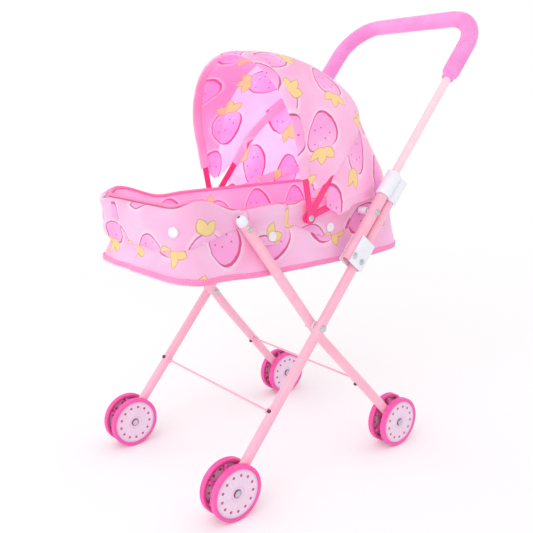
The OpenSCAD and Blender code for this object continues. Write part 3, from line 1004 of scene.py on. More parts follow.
@cache
def sleeve_pattern() -> Pattern:
    """A round sleeve along a path, with its own girth at each point and ribs where asked."""
    kinds = {
        "Rib Pitch": "NodeSocketFloat",
        "Rib Depth": "NodeSocketFloat",
        "Sides": "NodeSocketInt",
        "Finish": "NodeSocketMaterial",
    }
    made = Pattern("ribbed sleeve", kinds)
    path = made.sock("GeometryNodeMeshToCurve", None, {0: made.value("Geometry")})
    girth = made.sock("GeometryNodeInputNamedAttribute", {"data_type": "FLOAT"}, {"Name": "girth"})
    ribbed = made.sock("GeometryNodeInputNamedAttribute", {"data_type": "FLOAT"}, {"Name": "ribbed"})
    run = made.sock("GeometryNodeSplineParameter", out="Length")
    wave = abs((run * math.pi / made.value("Rib Pitch")).fn("SINE"))
    size = girth - (1.0 - wave) * made.value("Rib Depth") * ribbed
    section = made.sock(
        "GeometryNodeCurvePrimitiveCircle",
        {"mode": "RADIUS"},
        {"Resolution": made.value("Sides"), "Radius": 1.0},
    )
    inputs = {"Curve": path, "Profile Curve": section, "Scale": size, "Fill Caps": True}
    made.close(made.sock("GeometryNodeCurveToMesh", None, inputs))
    return made


def marked_points(
    name: str, points: Sequence[Vector], joined_up: bool = False, **marks: Sequence[Any]
) -> bpy.types.Object:
    """Makes points, or a line through them, that carry named values for a tree.

    Args:
        name: the object's name.
        points: the places.
        joined_up: whether the points make a line.
        marks: the values of each attribute, one for each point.

    Returns:
        The object.
    """
    mesh = bpy.data.meshes.new(name)
    edges = [(i, i + 1) for i in range(len(points) - 1)] if joined_up else []
    mesh.from_pydata([tuple(p) for p in points], edges, [])
    for key, values in marks.items():
        is_vector = isinstance(values[0], Vector)
        layer = mesh.attributes.new(key, "FLOAT_VECTOR" if is_vector else "FLOAT", "POINT")
        for item, value in zip(layer.data, values):
            if is_vector:
                item.vector = value
            else:
                item.value = value
    return add_object(name, mesh)


def round_head(radius: float, height: float, brim: float) -> bpy.types.Object:
    """A domed head standing on the plane X = 0, turned about X, on a short brim."""
    arc = [
        (brim + height * math.sin(math.radians(a)), radius * math.cos(math.radians(a)))
        for a in range(0, 90, 12)
    ]
    profile = [
        (-1.2 * MM, 0.02 * MM), (-1.2 * MM, radius * 0.8), (0.0, radius * 1.02), (brim, radius * 1.02),
        *arc, (brim + height, 0.02 * MM),
    ]
    return shape("head", *lathe(profile, 24))


def set_parts(
    name: str, part: bpy.types.Object, spots: Sequence[tuple[Vector, Vector]], finish: Finishes
) -> bpy.types.Object:
    """Sets copies of a small part at spots, each a place and a facing, and uses the part up.

    Args:
        name: the new piece's name.
        part: the small part, made facing +X.
        spots: the places and facings.
        finish: the finish of the copies.

    Returns:
        The piece that holds them all.
    """
    source = marked_points(name, [p for p, _ in spots], facing=[f for _, f in spots])
    made = stamp_pattern().run(source, name, Part=part, Size=1.0, Finish=finish.material())
    bpy.data.objects.remove(part)
    return made


def sew(
    name: str, line: Sequence[Vector], facing: Sequence[Vector], gap: float = 3.4 * MM
) -> bpy.types.Object:
    """Lays a row of stitches along a line on the cloth.

    Args:
        name: the new piece's name.
        line, facing: the seam's points, and the way out of the cloth at each.
        gap: the distance from stitch to stitch.

    Returns:
        The row of stitches.
    """
    long, thick = gap * 0.31, 0.24 * MM
    points = []
    for x, r in ((-long, 0.3), (-long * 0.7, 1.0), (long * 0.7, 1.0), (long, 0.3)):
        points += [
            Vector((x, r * thick * math.cos(math.tau * k / 6), r * thick * math.sin(math.tau * k / 6)))
            for k in range(6)
        ]
    stitch = shape("stitch", points, stacked(4, 6))
    source = marked_points(name, line, True, facing=list(facing))
    made = stitch_pattern().run(source, name, Part=stitch, Gap=gap, Finish=Finishes.PALE_BINDING.material())
    bpy.data.objects.remove(stitch)
    return made


# ---------------------------------------------------------------- the fixed frame


@dataclass(frozen=True)
class Places:
    """Where the frame's joints and tubes are, in metres."""

    nodes: dict[str, bpy.types.Object]
    axle: Vector
    crossing: Vector
    handle: Vector
    rail: Vector
    basket: Vector
    hood: Vector
    leg_x: float

    @staticmethod
    def read(frame: dict[str, Any]) -> Places:
        """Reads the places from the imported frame."""
        spots = {joint["name"]: Vector(joint["pos_m"]) for joint in frame["joints"] if "pos_m" in joint}
        wheel = spots["front_wheel_left_spin"]
        low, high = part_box("socket_rivets")
        return Places(
            nodes=frame["nodes"],
            axle=Vector((0, wheel.y, wheel.z)),
            crossing=spots["rear_leg_fold"],
            handle=spots["handle_fold"],
            rail=Vector((0, (low.y + high.y) / 2, (low.z + high.z) / 2)),
            basket=spots["basket_tilt"],
            hood=spots["hood_front_fold"],
            leg_x=wheel.x,
        )

    @property
    def up_leg(self) -> Vector:
        """The way up the main legs."""
        return (self.crossing - self.axle).normalized()

    @property
    def ahead_of_leg(self) -> Vector:
        """The way square to the main legs, forward and up."""
        along = self.up_leg
        return Vector((0, -along.z, along.y))

    def span(self, node: str) -> tuple[float, float]:
        """The lowest and highest X of a part's half on the left."""
        found = [v.co.x for v in self.nodes[node].data.vertices if v.co.x > 0]
        return min(found), max(found)


def ride(piece: bpy.types.Object, body: str, slot: str, *replaced: str) -> bpy.types.Object:
    """Fixes a finished piece to a body.

    Args:
        piece: the piece.
        body: the body that it moves with.
        slot: not used.
        replaced: the frame parts that it stands for.

    Returns:
        The piece.
    """
    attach(piece, body)
    if replaced:
        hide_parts(*replaced)
    LOG.info("%s rides on %s", piece.name, body)
    return piece


# ---------------------------------------------------------------- wheels and frame


@dataclass
class Wheels:
    """The four twin wheels: spoked discs under printed plates."""

    places: Places
    radius: float = 32 * MM
    rim: float = 4.2 * MM
    width: float = 7.2 * MM
    gap: float = 13 * MM
    hub: float = 7 * MM
    axle: float = 2.55 * MM
    spokes: int = 6
    plate_r: float = 27.7 * MM
    dimple: float = 5 * MM

    def build(self) -> None:
        """Makes every wheel, its plates and its axle screws."""
        for end in ("front", "rear"):
            low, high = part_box(f"{end}_axles")
            middle = (low + high) / 2
            for side, sign in SIDES:
                body = f"{end}_wheel_{side}"
                centre = Vector((sign * self.places.leg_x, middle.y, middle.z))
                discs = [self.disc(centre, sign * face) for face in (1, -1)]
                wheel = joined(body, discs)
                ride(wheel, body, "wheel_plastic", f"wheel_{end}_{side}_outer", f"wheel_{end}_{side}_inner")
                plates = joined(f"{end}_plates_{side}", [self.plate(centre, sign * face) for face in (1, -1)])
                ride(plates, body, "cap_plastic", f"cap_{end}_{side}_outer", f"cap_{end}_{side}_inner")
            self.axle_ends(end, middle)

    def disc(self, centre: Vector, facing: float) -> bpy.types.Object:
        """Makes one disc: a rounded rim, a hub and its ring of spokes.

        Args:
            centre: the middle of the twin wheel.
            facing: 1 for the disc on the +X side, -1 for the other.

        Returns:
            The disc.
        """
        r, w, t = self.radius, self.width, self.rim
        rim = [
            (0.0, r - t), (0.0, r - 1.2 * MM), (0.35 * MM, r - 0.4 * MM), (1.1 * MM, r), (w * 0.36, r),
            (w * 0.4, r - 0.35 * MM), (w * 0.6, r - 0.35 * MM), (w * 0.64, r), (w - 1.0 * MM, r),
            (w - 0.3 * MM, r - 0.4 * MM), (w, r - 1.1 * MM), (w, r - t + 0.7 * MM), (w - 0.5 * MM, r - t),
        ]
        seat = w - 2.1 * MM
        hub = [
            (-3.2 * MM, self.axle), (-3.2 * MM, self.hub - 2.2 * MM), (-0.2 * MM, self.hub - 1.6 * MM),
            (0.0, self.hub), (seat, self.hub), (seat, self.axle),
        ]
        parts = [shape("rim", *lathe(rim, 72)), shape("hub", *lathe(hub, 32))]
        spoke = self.spoke(seat)
        parts.append(
            ring_pattern().run(spoke, "spokes", Count=self.spokes, Finish=Finishes.WHEEL_PLASTIC.material())
        )
        for part in parts:
            if not part.data.materials:
                part.data.materials.append(Finishes.WHEEL_PLASTIC.material())
        disc = joined("disc", parts)
        self.put(disc, centre, facing)
        return disc

    def spoke(self, deep: float) -> bpy.types.Object:
        """Makes one tapered spoke, from the hub to the rim, standing on the plane X = 0."""
        inner, outer = self.hub - 1 * MM, self.radius - self.rim + 0.4 * MM
        middle = (inner + outer) / 2
        places = ((inner, 2.0 * MM, 0.5 * MM), (middle, 1.5 * MM, 0.4 * MM), (outer, 2.1 * MM, 0.5 * MM))
        points = []
        for z, half, edge in places:
            loop = [
                (0, -half), (0, half), (deep - edge, half), (deep, half - edge), (deep, edge - half),
                (deep - edge, -half),
            ]
            points += [Vector((x, y, z)) for x, y in loop]
        return shape("spoke", points, stacked(3, 6))

    def plate(self, centre: Vector, facing: float) -> bpy.types.Object:
        """Makes one dished cover plate with a flat map centred on its screw.

        Args:
            centre: the middle of the twin wheel.
            facing: 1 for the plate on the +X side, -1 for the other.

        Returns:
            The plate.
        """
        base, top, r = self.width - 2.1 * MM, self.width - 0.5 * MM, self.plate_r
        profile = [
            (base, self.dimple), (base, r), (top - 0.5 * MM, r), (top, r - 0.6 * MM),
            (top + 0.1 * MM, r - 2.2 * MM), (top - 0.35 * MM, r - 2.9 * MM), (top - 0.1 * MM, r * 0.6),
            (top + 0.1 * MM, self.dimple + 4.2 * MM), (top + 0.35 * MM, self.dimple + 2.6 * MM),
            (top - 0.2 * MM, self.dimple + 0.6 * MM), (top - 0.9 * MM, self.dimple),
        ]
        made = shape("plate", *lathe(profile, 72), Finishes.WHEEL_PRINT)
        layer = made.data.uv_layers.new(name="UVMap")
        for loop in made.data.loops:
            spot = made.data.vertices[loop.vertex_index].co
            layer.data[loop.index].uv = (spot.y, spot.z)
        self.put(made, centre, facing)
        return made

    def put(self, piece: bpy.types.Object, centre: Vector, facing: float) -> None:
        """Moves a disc or plate made on the axis to its side of a twin wheel."""
        turn = Matrix.Rotation(0.0 if facing > 0 else math.pi, 4, "Z")
        piece.data.transform(Matrix.Translation(centre) @ turn @ Matrix.Translation((self.gap / 2, 0, 0)))

    def axle_ends(self, end: str, middle: Vector) -> None:
        """Sets a cross-headed screw at each end of an axle.

        Args:
            end: "front" or "rear".
            middle: the middle of the axle line.
        """
        low, high = self.places.span(f"{end}_axles")
        spots = [
            (Vector((sign * x, middle.y, middle.z)), Vector((sign * way, 0, 0)))
            for _, sign in SIDES for x, way in ((high, 1.0), (low, -1.0))
        ]
        screws = set_parts(f"{end}_axle_screws", screw_head(3.6 * MM, 1.1 * MM), spots, Finishes.STEEL)
        ride(screws, "main_frame" if end == "front" else "rear_frame", "steel")
        self.places.nodes[f"{end}_axles"].data.materials.clear()
        self.places.nodes[f"{end}_axles"].data.materials.append(Finishes.STEEL.material())


def screw_head(radius: float, height: float) -> bpy.types.Object:
    """A pan head with a cross recess, facing +X.

    Args:
        radius, height: the head's size.

    Returns:
        The head.
    """
    sides, slot = 24, radius * 0.2
    rings = [
        (-0.6 * MM, 0.6), (0.0, 1.0), (height * 0.45, 0.97), (height * 0.85, 0.78), (height, 0.52),
        (height, 0.26), (height * 0.9, 0.05),
    ]
    points = []
    for level, (x, share) in enumerate(rings):
        for k in range(sides):
            turn = math.tau * k / sides
            y, z = radius * share * math.cos(turn), radius * share * math.sin(turn)
            sunk = 0.6 * height if min(abs(y), abs(z)) < slot and level > 3 else 0.0
            points.append(Vector((x - sunk, y, z)))
    return shape("screw", points, stacked(len(rings), sides))


@dataclass
class Chassis:
    """The crossed legs, braces, brackets and their rivets."""

    places: Places
    head_r: float = 3.7 * MM
    head_t: float = 1.6 * MM
    cross_head_r: float = 4.5 * MM

    def build(self) -> None:
        """Dresses the frame parts and adds the moulded and riveted ones."""
        nodes = self.places.nodes
        for name, node in nodes.items():
            finish = None
            painted = name.startswith(("front_leg", "rear_leg", "socket_")) and name != "socket_rivets"
            if painted or name.endswith("brace_wire"):
                finish = Finishes.LEG_PAINT
            elif name == "handle_tube":
                finish = Finishes.HANDLE_PAINT
            elif name in ("rail_loop", "front_axles", "rear_axles"):
                finish = Finishes.STEEL
            elif name.endswith("brace_screws"):
                finish = Finishes.DARK_SCREW
            elif name in ("cross_washers", "rail_bosses"):
                finish = Finishes.WHITE_PLASTIC
            if finish:
                node.data.materials.clear()
                node.data.materials.append(finish.material())
        for side, _ in SIDES:
            self.soft_copy(f"bracket_{side}", "main_frame", 0.45 * MM)
            self.soft_copy(f"rear_cap_{side}", "rear_frame", 0.3 * MM)
            self.soft_copy(f"lock_sleeve_{side}", f"lock_{side}", 0.9 * MM)
        self.rivets()
        self.brace_ends()
        self.cap_holes()

    def soft_copy(self, node: str, body: str, width: float) -> None:
        """Stands a moulding with rounded edges in for a frame part."""
        made = soften(self.places.nodes[node], f"{node}_moulding", Finishes.WHITE_PLASTIC, width)
        ride(made, body, "white_plastic", node)

    def rivets(self) -> None:
        """Sets the domed rivet heads of each body."""
        p = self.places
        leg_pin = p.handle - p.ahead_of_leg * 15 * MM
        plate_in, plate_out = p.span("bracket_left")
        head_t = self.head_t

        def pairs(spot: Vector, inner: float | None, outer: float) -> list[tuple[Vector, Vector]]:
            """The rivet heads of one pin on both sides of the stroller."""
            ends = [(outer, 1.0)] + ([(inner, -1.0)] if inner is not None else [])
            return [
                (Vector((sign * x, spot.y, spot.z)), Vector((sign * way, 0, 0)))
                for _, sign in SIDES
                for x, way in ends
            ]

        spots = pairs(p.handle, plate_in, plate_out) + pairs(leg_pin, plate_in, plate_out)
        self.fasten("bracket_rivets", self.head(), spots, "main_frame")
        low, high = p.span("cross_rivets")
        big = round_head(self.cross_head_r, self.head_t, 0.3 * MM)
        spots = pairs(p.crossing, low + head_t, high - head_t)
        self.fasten("cross_rivets", big, spots, "main_frame")
        low, high = p.span("socket_rivets")
        spots = pairs(p.rail, low + head_t, high - head_t)
        self.fasten("socket_rivets", self.head(), spots, "handle")
        for node, body, spot in (
            ("basket_rivets", "rear_frame", p.basket),
            ("hood_rivets", "basket", p.hood),
        ):
            _, high = p.span(node)
            self.fasten(node, self.head(), pairs(spot, None, high - head_t), body)

    def fasten(
        self, node: str, head: bpy.types.Object, spots: Sequence[tuple[Vector, Vector]], body: str
    ) -> None:
        """Sets domed heads in place of a frame part's rivets.

        Args:
            node: the frame part.
            head: one head, which is used up.
            spots: the places and facings.
            body: the body that they ride on.
        """
        ride(set_parts(f"{node[:-1]}_heads", head, spots, Finishes.STEEL), body, "steel", node)

    def brace_ends(self) -> None:
        """Sets the dark screw ends that come out of the legs in front of each brace."""
        p = self.places
        for name, body in (("front_brace", "main_frame"), ("rear_brace", "rear_frame")):
            low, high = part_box(f"{name}_screws")
            middle = (low + high) / 2
            ahead = p.ahead_of_leg if body == "main_frame" else self.ahead_of_rear(middle)
            x = p.leg_x if body == "main_frame" else high.x + 3 * MM
            spots = [(Vector((sign * x, middle.y, middle.z)) + ahead * 5.6 * MM, ahead) for _, sign in SIDES]
            ends = set_parts(f"{name}_screw_ends", screw_head(2.3 * MM, 2.6 * MM), spots, Finishes.DARK_SCREW)
            ride(ends, body, "steel")

    def ahead_of_rear(self, spot: Vector) -> Vector:
        """The way square to the rear legs, down and forward."""
        along = (spot - self.places.crossing).normalized()
        return Vector((0, along.z, -along.y))

    def cap_holes(self) -> None:
        """Sets a dark disc on the tip of each rear leg's cap: painted shade of a hole there."""
        spots = []
        for side, _ in SIDES:
            node = self.places.nodes[f"rear_cap_{side}"]
            points = [v.co for v in node.data.vertices]
            middle = sum(points, Vector()) / len(points)
            way = (self.places.basket - self.places.crossing).normalized()
            tip = max((v - middle).dot(way) for v in points)
            spots.append((middle + way * (tip + 0.05 * MM), way))
        # The dark disc is painted shade standing for the inside of a hole.
        hole = shape(
            "hole",
            *lathe(
                [(-0.6 * MM, 0.02 * MM), (-0.6 * MM, 1.8 * MM), (0.0, 1.8 * MM), (-0.2 * MM, 0.02 * MM)], 20
            ),
        )
        ride(set_parts("rear_cap_holes", hole, spots, Finishes.DARK_SCREW), "rear_frame", "steel")

    def head(self) -> bpy.types.Object:
        """One common rivet head."""
        return round_head(self.head_r, self.head_t, 0.25 * MM)


@dataclass
class Grip:
    """The foam sleeve on the handle: ribbed bends, a smoother middle and a collar at each end."""

    places: Places
    bar_s: float = 659 * MM
    offset: float = 15 * MM
    bend: float = 50 * MM
    down: float = 104 * MM
    girth: float = 10.9 * MM
    middle_girth: float = 10.2 * MM
    collar: float = 7.2 * MM
    collar_len: float = 7 * MM
    step: float = 0.8 * MM

    def build(self) -> None:
        """Makes the sleeve."""
        path = self.path()
        length = (len(path) - 1) * self.step
        girth, ribbed = [], []
        for i in range(len(path)):
            end = min(i * self.step, length - i * self.step)
            middle = smooth(length * 0.27, length * 0.32, end)
            body = self.girth + (self.middle_girth - self.girth) * middle
            rise = smooth(self.collar_len - 1.5 * MM, self.collar_len + 2.5 * MM, end)
            lip = 0.6 * MM * smooth(0.0, 1.5 * MM, end) * (1 - rise)
            girth.append(self.collar + lip + (body - self.collar) * rise)
            ribbed.append(rise * (1 - 0.82 * middle) + 0.35 * (1 - rise))
        source = marked_points("grip", path, True, girth=girth, ribbed=ribbed)
        made = sleeve_pattern().run(
            source, "ribbed_grip", Rib_Pitch=3.1 * MM, Rib_Depth=1.1 * MM, Sides=40,
            Finish=Finishes.GRIP.material(),
        )
        ride(made, "handle", "grip_foam", "handle_grip")

    def path(self) -> list[Vector]:
        """The sleeve's middle line, in even steps from one end to the other."""
        p = self.places
        side, quarter, bar = self.down - self.bend, self.bend * math.pi / 2, 2 * (p.leg_x - self.bend)
        total = 2 * (side + quarter) + bar
        count = round(total / self.step)
        points = []
        for i in range(count + 1):
            run = total * i / count
            near = min(run, total - run)
            sign = 1.0 if run < total / 2 else -1.0
            if near < side:
                x, s = p.leg_x, self.bar_s - self.down + near
            elif near < side + quarter:
                turn = (near - side) / self.bend
                x = p.leg_x - self.bend * (1 - math.cos(turn))
                s = self.bar_s - self.bend * (1 - math.sin(turn))
            else:
                x, s = p.leg_x - self.bend - (near - side - quarter), self.bar_s
            points.append(Vector((sign * x, 0, 0)) + p.axle + p.up_leg * s + p.ahead_of_leg * self.offset)
        return points


# ---------------------------------------------------------------- basket


@dataclass(frozen=True)
class Plan:
    """The basket's rounded outline from above, walked from the front's middle towards +X."""

    half: float
    front: float
    back: float
    corner: float

    @property
    def girth(self) -> float:
        """The length once round."""
        ends, sides = 4 * (self.half - self.corner), 2 * (self.back - self.front - 2 * self.corner)
        return ends + sides + math.tau * self.corner

    def walk(self, run: float, inset: float = 0.0) -> tuple[Vector, Vector]:
        """The point after a walk round the outline, and the way out there.

        Args:
            run: the distance walked.
            inset: how far inside the outline to be.

        Returns:
            The point and the outward direction, both flat.
        """
        run %= self.girth
        if run > self.girth / 2:
            spot, out = self.walk(self.girth - run, inset)
            return Vector((-spot.x, spot.y, 0)), Vector((-out.x, out.y, 0))
        flat, bend = self.half - self.corner, self.corner * math.pi / 2
        side = self.back - self.front - 2 * self.corner
        if run < flat:
            spot, out = Vector((run, self.front, 0)), Vector((0, -1, 0))
        elif run < flat + bend:
            turn = (run - flat) / self.corner
            out = Vector((math.sin(turn), -math.cos(turn), 0))
            spot = Vector((flat, self.front + self.corner, 0)) + out * self.corner
        elif run < flat + bend + side:
            out = Vector((1, 0, 0))
            spot = Vector((self.half, self.front + self.corner + run - flat - bend, 0))
        elif run < flat + 2 * bend + side:
            turn = (run - flat - bend - side) / self.corner
            out = Vector((math.cos(turn), math.sin(turn), 0))
            spot = Vector((flat, self.back - self.corner, 0)) + out * self.corner
        else:
            out = Vector((0, 1, 0))
            spot = Vector((flat - (run - flat - 2 * bend - side), self.back, 0))
        return spot - out * inset, out

    def side_run(self, y: float) -> float:
        """The walk to a place on the straight +X side."""
        return self.half - self.corner + self.corner * math.pi / 2 + y - self.front - self.corner


# Where each cut of the basket lies on the roll of printed cloth, in metres
FLAP_SHIFT, LINING_SHIFT, FLOOR_SHIFT = (0.31, 0.017), 0.77, 1.5

# How far the cloth stands out at the basket's nose, by height above the rail: a cuff that bulges,
# a tuck below it and a flared hem
NOSE_LINE = [
    (-50 * MM, 6.0 * MM), (-41 * MM, 1.5 * MM), (-28 * MM, -4.5 * MM), (-18 * MM, -1.0 * MM),
    (-5 * MM, 2.6 * MM), (10 * MM, 4.6 * MM), (22 * MM, 3.6 * MM), (33 * MM, 1.0 * MM),
]


@dataclass
class Basket:
    """The cloth basket: a skirt with buttoned tabs and a cuff, a lining, and taped edges.

    The cloth comes over the rim from lip inside the plan: its first over of length makes the
    turn and drops by sink, and the cuff and tabs start a lead further on."""

    places: Places
    rim_rise: float = 18 * MM
    nose_rise: float = 14 * MM
    hem_drop: float = 58 * MM
    hem_w: float = 7 * MM
    corner: float = 28 * MM
    snap_r: float = 5.5 * MM
    rest: float = -1.9 * MM
    layer: float = 1.0 * MM
    step: float = 4.0 * MM
    tab_drop: float = 27 * MM
    over: float = 7.0 * MM
    sink: float = 2.4 * MM
    lip: float = 7.6 * MM
    lead: float = 1.2 * MM

    def __post_init__(self) -> None:
        """Works out the plan and the button places."""
        low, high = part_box("basket_skirt")
        self.plan = Plan(high.x, low.y, high.y, self.corner)
        p = self.places
        self.rail = p.basket.z
        self.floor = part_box("base_board")[1].z
        self.side_snaps = [p.basket.y + 41 * MM, p.hood.y + 37 * MM]
        self.snap_z = self.rail - 15 * MM
        self.corner_run = self.plan.half - self.plan.corner + self.plan.corner * math.pi / 6
        self.corner_z = self.rail + 2 * MM

    def rim(self, y: float) -> float:
        """The height of the rim along the basket."""
        back = y - self.plan.front
        dip = 3.5 * MM * math.exp(-(((y - self.places.basket.y + 6 * MM) / (26 * MM)) ** 2))
        dip += 8.5 * MM * math.exp(-((back / (15 * MM)) ** 2))
        return self.rail + self.rim_rise + self.nose_rise * (1 - smooth(20 * MM, 96 * MM, back)) - dip

    def hem(self, y: float) -> float:
        """The height of the hem along the basket."""
        back = y - self.plan.front
        length = self.plan.back - self.plan.front
        stops = [
            (-9 * MM, 8 * MM),
            (40 * MM, 4 * MM),
            (110 * MM, 0),
            (length - 60 * MM, 0),
            (length + 9 * MM, 5 * MM),
        ]
        rise = along_stops(stops, back)
        return self.rail - self.hem_drop + rise

    def swell(self, run: float, y: float, z: float) -> float:
        """How far the cloth stands out from the plan, kept clear of the legs, bows and buttons.

        Args:
            run: the walk round the plan.
            y, z: the place along the basket and its height.

        Returns:
            The distance out.
        """
        p, plan = self.places, self.plan
        rim, hem = self.rim(y), self.hem(y)
        above = min(max((z - self.rail) / (rim - self.rail), 0.0), 1.0)
        below = min(max((self.rail - z) / (self.rail - hem), 0.0), 1.0)
        back_end = 0.8 * smooth(60 * MM, 0.0, plan.back - y)
        nose = smooth(62 * MM, 22 * MM, y - plan.front)
        side = self.rest + (2.0 * MM + 4.0 * MM * back_end) * math.sin(math.pi * min(above, 0.86))
        side += (4.5 * MM + 7.5 * MM * back_end) * below**1.4
        out = side + (along_stops(NOSE_LINE, z - self.rail) - side) * nose
        wave = math.sin(run / (13.5 * MM) + 0.7) + 0.7 * math.sin(run / (7.9 * MM) + 2.1)
        wave += 1.3 * noise.noise(Vector((run / 0.035, z / 0.05, 3.1)))
        out += (0.25 + 0.9 * below + 0.35 * above) * 0.95 * MM * wave
        half_way = plan.girth / 2
        near = min(run % plan.girth, plan.girth - run % plan.girth)
        if plan.corner * 1.2 < y - plan.front < plan.back - plan.front - plan.corner:
            clear = smooth(64 * MM, 34 * MM, y - plan.front) + smooth(64 * MM, 30 * MM, plan.back - y)
            out = soft_min(out, 1.3 * MM + 9 * MM * clear, 1.2 * MM)
            along = p.crossing - p.basket
            share = min(max((Vector((0, y, z)) - p.basket).dot(along) / along.length_squared, 0.0), 1.0)
            off = (Vector((0, y, z)) - p.basket - along * share).length
            out = soft_min(out, 0.9 * MM + 0.35 * max(off - 8 * MM, 0.0), 1.0 * MM)
            ahead = max(p.hood.y - 12 * MM - y, y - p.hood.y - 80 * MM, self.rail - 8 * MM - z, 0.0)
            out = soft_min(out, -0.3 * MM + 0.3 * ahead, 0.6 * MM)
            for snap_y in self.side_snaps:
                off = math.hypot(y - snap_y, z - self.snap_z)
                out = soft_min(out, self.rest + 0.6 * MM + 0.3 * max(off - 6 * MM, 0.0), 0.8 * MM)
            off = math.hypot(y - p.rail.y, z - p.rail.z)
            out = soft_min(out, self.rest + 0.5 * MM + 0.3 * max(off - 6 * MM, 0.0), 0.6 * MM)
        elif near < half_way / 2:
            off = math.hypot(near - self.corner_run, z - self.corner_z)
            out = soft_min(out, self.rest + 1.3 * MM + 0.28 * max(off - 6 * MM, 0.0), 1.2 * MM)
        return out

    def spot(self, run: float, z: float, out: float) -> Vector:
        """A point of the cloth: a walk round the plan, a height and a distance out."""
        flat, _ = self.plan.walk(run, -out)
        return Vector((flat.x, flat.y, z))

    def over_rim(self, run: float, depth: float, lift: float) -> Vector:
        """A point of cloth that comes over the rim from inside and hangs outside.

        Args:
            run: the walk round the plan.
            depth: the cloth's length from the inner edge of the rim.
            lift: how far it lies off the first layer.

        Returns:
            The point.
        """
        y = self.plan.walk(run)[0].y
        inner = lift - self.lip
        base = self.rim(y) - self.sink
        if depth < self.over:
            turn = depth / self.over * math.pi / 2
            edge = self.swell(run, y, base) + lift
            out = inner + (edge - inner) * math.sin(turn)
            return self.spot(run, base + (self.sink + lift) * math.cos(turn), out)
        z = base - (depth - self.over)
        return self.spot(run, z, self.swell(run, y, z) + lift)

    def build(self) -> None:
        """Makes every cloth of the basket, its buttons and its board."""
        self.skirt()
        self.cuff()
        for side, sign in SIDES:
            self.tab(f"middle_tab_{side}", sign, self.places.basket.y + 9 * MM, self.side_snaps[0] + 19 * MM)
            self.tab(f"rear_tab_{side}", sign, self.side_snaps[0] + 24 * MM, self.side_snaps[1] + 34 * MM)
        self.lining()
        self.rim_tape()
        self.hem_tape()
        self.buttons()
        board = soften(self.places.nodes["base_board"], "base_board_sheet", Finishes.BOARD, 0.6 * MM)
        ride(board, "basket", "board", "base_board")

    def ring(self) -> int:
        """The number of steps round the plan."""
        return round(self.plan.girth / self.step)

    def skirt(self) -> None:
        """Makes the skirt, from over the rim down to the hem."""
        cols, rows = self.ring(), 26
        run = [self.plan.girth * j / cols for j in range(cols + 1)]

        def depth(i: int, j: int) -> float:
            """The cloth's length from the rim's inner edge at a row."""
            y = self.plan.walk(run[j])[0].y
            full = self.over + self.rim(y) - self.sink - self.hem(y) - 0.6 * MM
            return full * (i / (rows - 1)) ** 1.25

        sheet = Weave(
            rows,
            cols,
            lambda i, j: self.over_rim(run[j], depth(i, j), 0.0),
            lambda i, j: (run[j], -depth(i, j)),
            ring_cols=True,
        )
        made = ride(
            sheet.make("basket_skirt_cloth", Finishes.PRINT), "basket", "print_fabric", "basket_skirt"
        )

    def flap(
        self, name: str, start: float, end: float, low: Callable[[float], float], lift: float
    ) -> bpy.types.Object:
        """Makes a piece of cloth folded over the rim down to its own lower edge.

        Args:
            name: the piece's name.
            start, end: the walk round the plan that it covers.
            low: the height of its lower edge at a walk.
            lift: how far it lies off the skirt.

        Returns:
            The piece, with its seam sewn.
        """
        cols, rows = max(round((end - start) / (2.5 * MM)), 8), 16
        run = [start + (end - start) * j / (cols - 1) for j in range(cols)]

        def depth(i: int, j: int) -> float:
            """The cloth's length from the rim's inner edge at a row."""
            y = self.plan.walk(run[j])[0].y
            outside = self.rim(y) - self.sink - low(run[j])
            return self.lead + (self.over - self.lead + outside) * i / (rows - 1)

        def place(i: int, j: int) -> Vector:
            """A point of the flap; its lower edge stands off a little."""
            free = smooth(0.8, 1.0, i / (rows - 1))
            return self.over_rim(run[j], depth(i, j), lift + 0.5 * MM * free)

        sheet = Weave(rows, cols, place, lambda i, j: (run[j] + FLAP_SHIFT[0], FLAP_SHIFT[1] - depth(i, j)))
        made = ride(sheet.make(name, Finishes.PRINT, 0.6 * MM), "basket", "print_fabric")
        end - start
        edge = [place(rows - 2, j) + self.plan.walk(run[j])[1] * 0.42 * MM for j in range(2, cols - 2)]
        seam = sew(f"{name}_seam", edge, [self.plan.walk(run[j])[1] for j in range(2, cols - 2)])
        ride(seam, "basket", "binding")
        return made

    def cuff(self) -> None:
        """Makes the front cuff, buttoned at both corners and ending at the rear legs' pivots."""
        end = self.plan.side_run(self.places.basket.y + 1 * MM)

        def low(run: float) -> float:
            """The lower edge: level in front, lowest at the buttons, rising to the pivots."""
            near = abs(run)
            corner = self.corner_run
            stops = [
                (0, -21 * MM),
                (corner - 30 * MM, -21 * MM),
                (corner, -18 * MM),
                (corner + 36 * MM, -9 * MM),
                (end, 0.0),
            ]
            return self.rail + along_stops(stops, near) + 0.8 * MM * math.sin(near / (9 * MM))

        self.flap("front_cuff", -end, end, low, self.layer)

    def tab(self, name: str, sign: float, y0: float, y1: float) -> None:
        """Makes a side tab that ends in a blunt point below its button.

        Args:
            name: the tab's name.
            sign: 1 for the left side, -1 for the right.
            y0, y1: where it starts and ends along the basket.
        """
        snap = min(self.side_snaps, key=lambda y: abs(y - (y0 + y1) / 2))
        start, end = self.plan.side_run(y0), self.plan.side_run(y1)
        point = self.plan.side_run(snap)
        tip = 3 * MM - self.tab_drop
        stops = [(start, -5 * MM), (point - 8 * MM, tip), (point + 4 * MM, tip), (end, tip + 5 * MM)]

        def low(run: float) -> float:
            """The lower edge of the tab."""
            return self.rail + along_stops(stops, abs(run))

        if sign > 0:
            self.flap(name, start, end, low, self.layer * 0.95)
        else:
            self.flap(name, -end, -start, low, self.layer * 0.95)

    def lining(self) -> None:
        """Makes the lining's wall and its floor."""
        cols, rows, bend = self.ring(), 16, 7 * MM
        base = self.floor + 0.9 * MM
        run = [self.plan.girth * j / cols for j in range(cols + 1)]

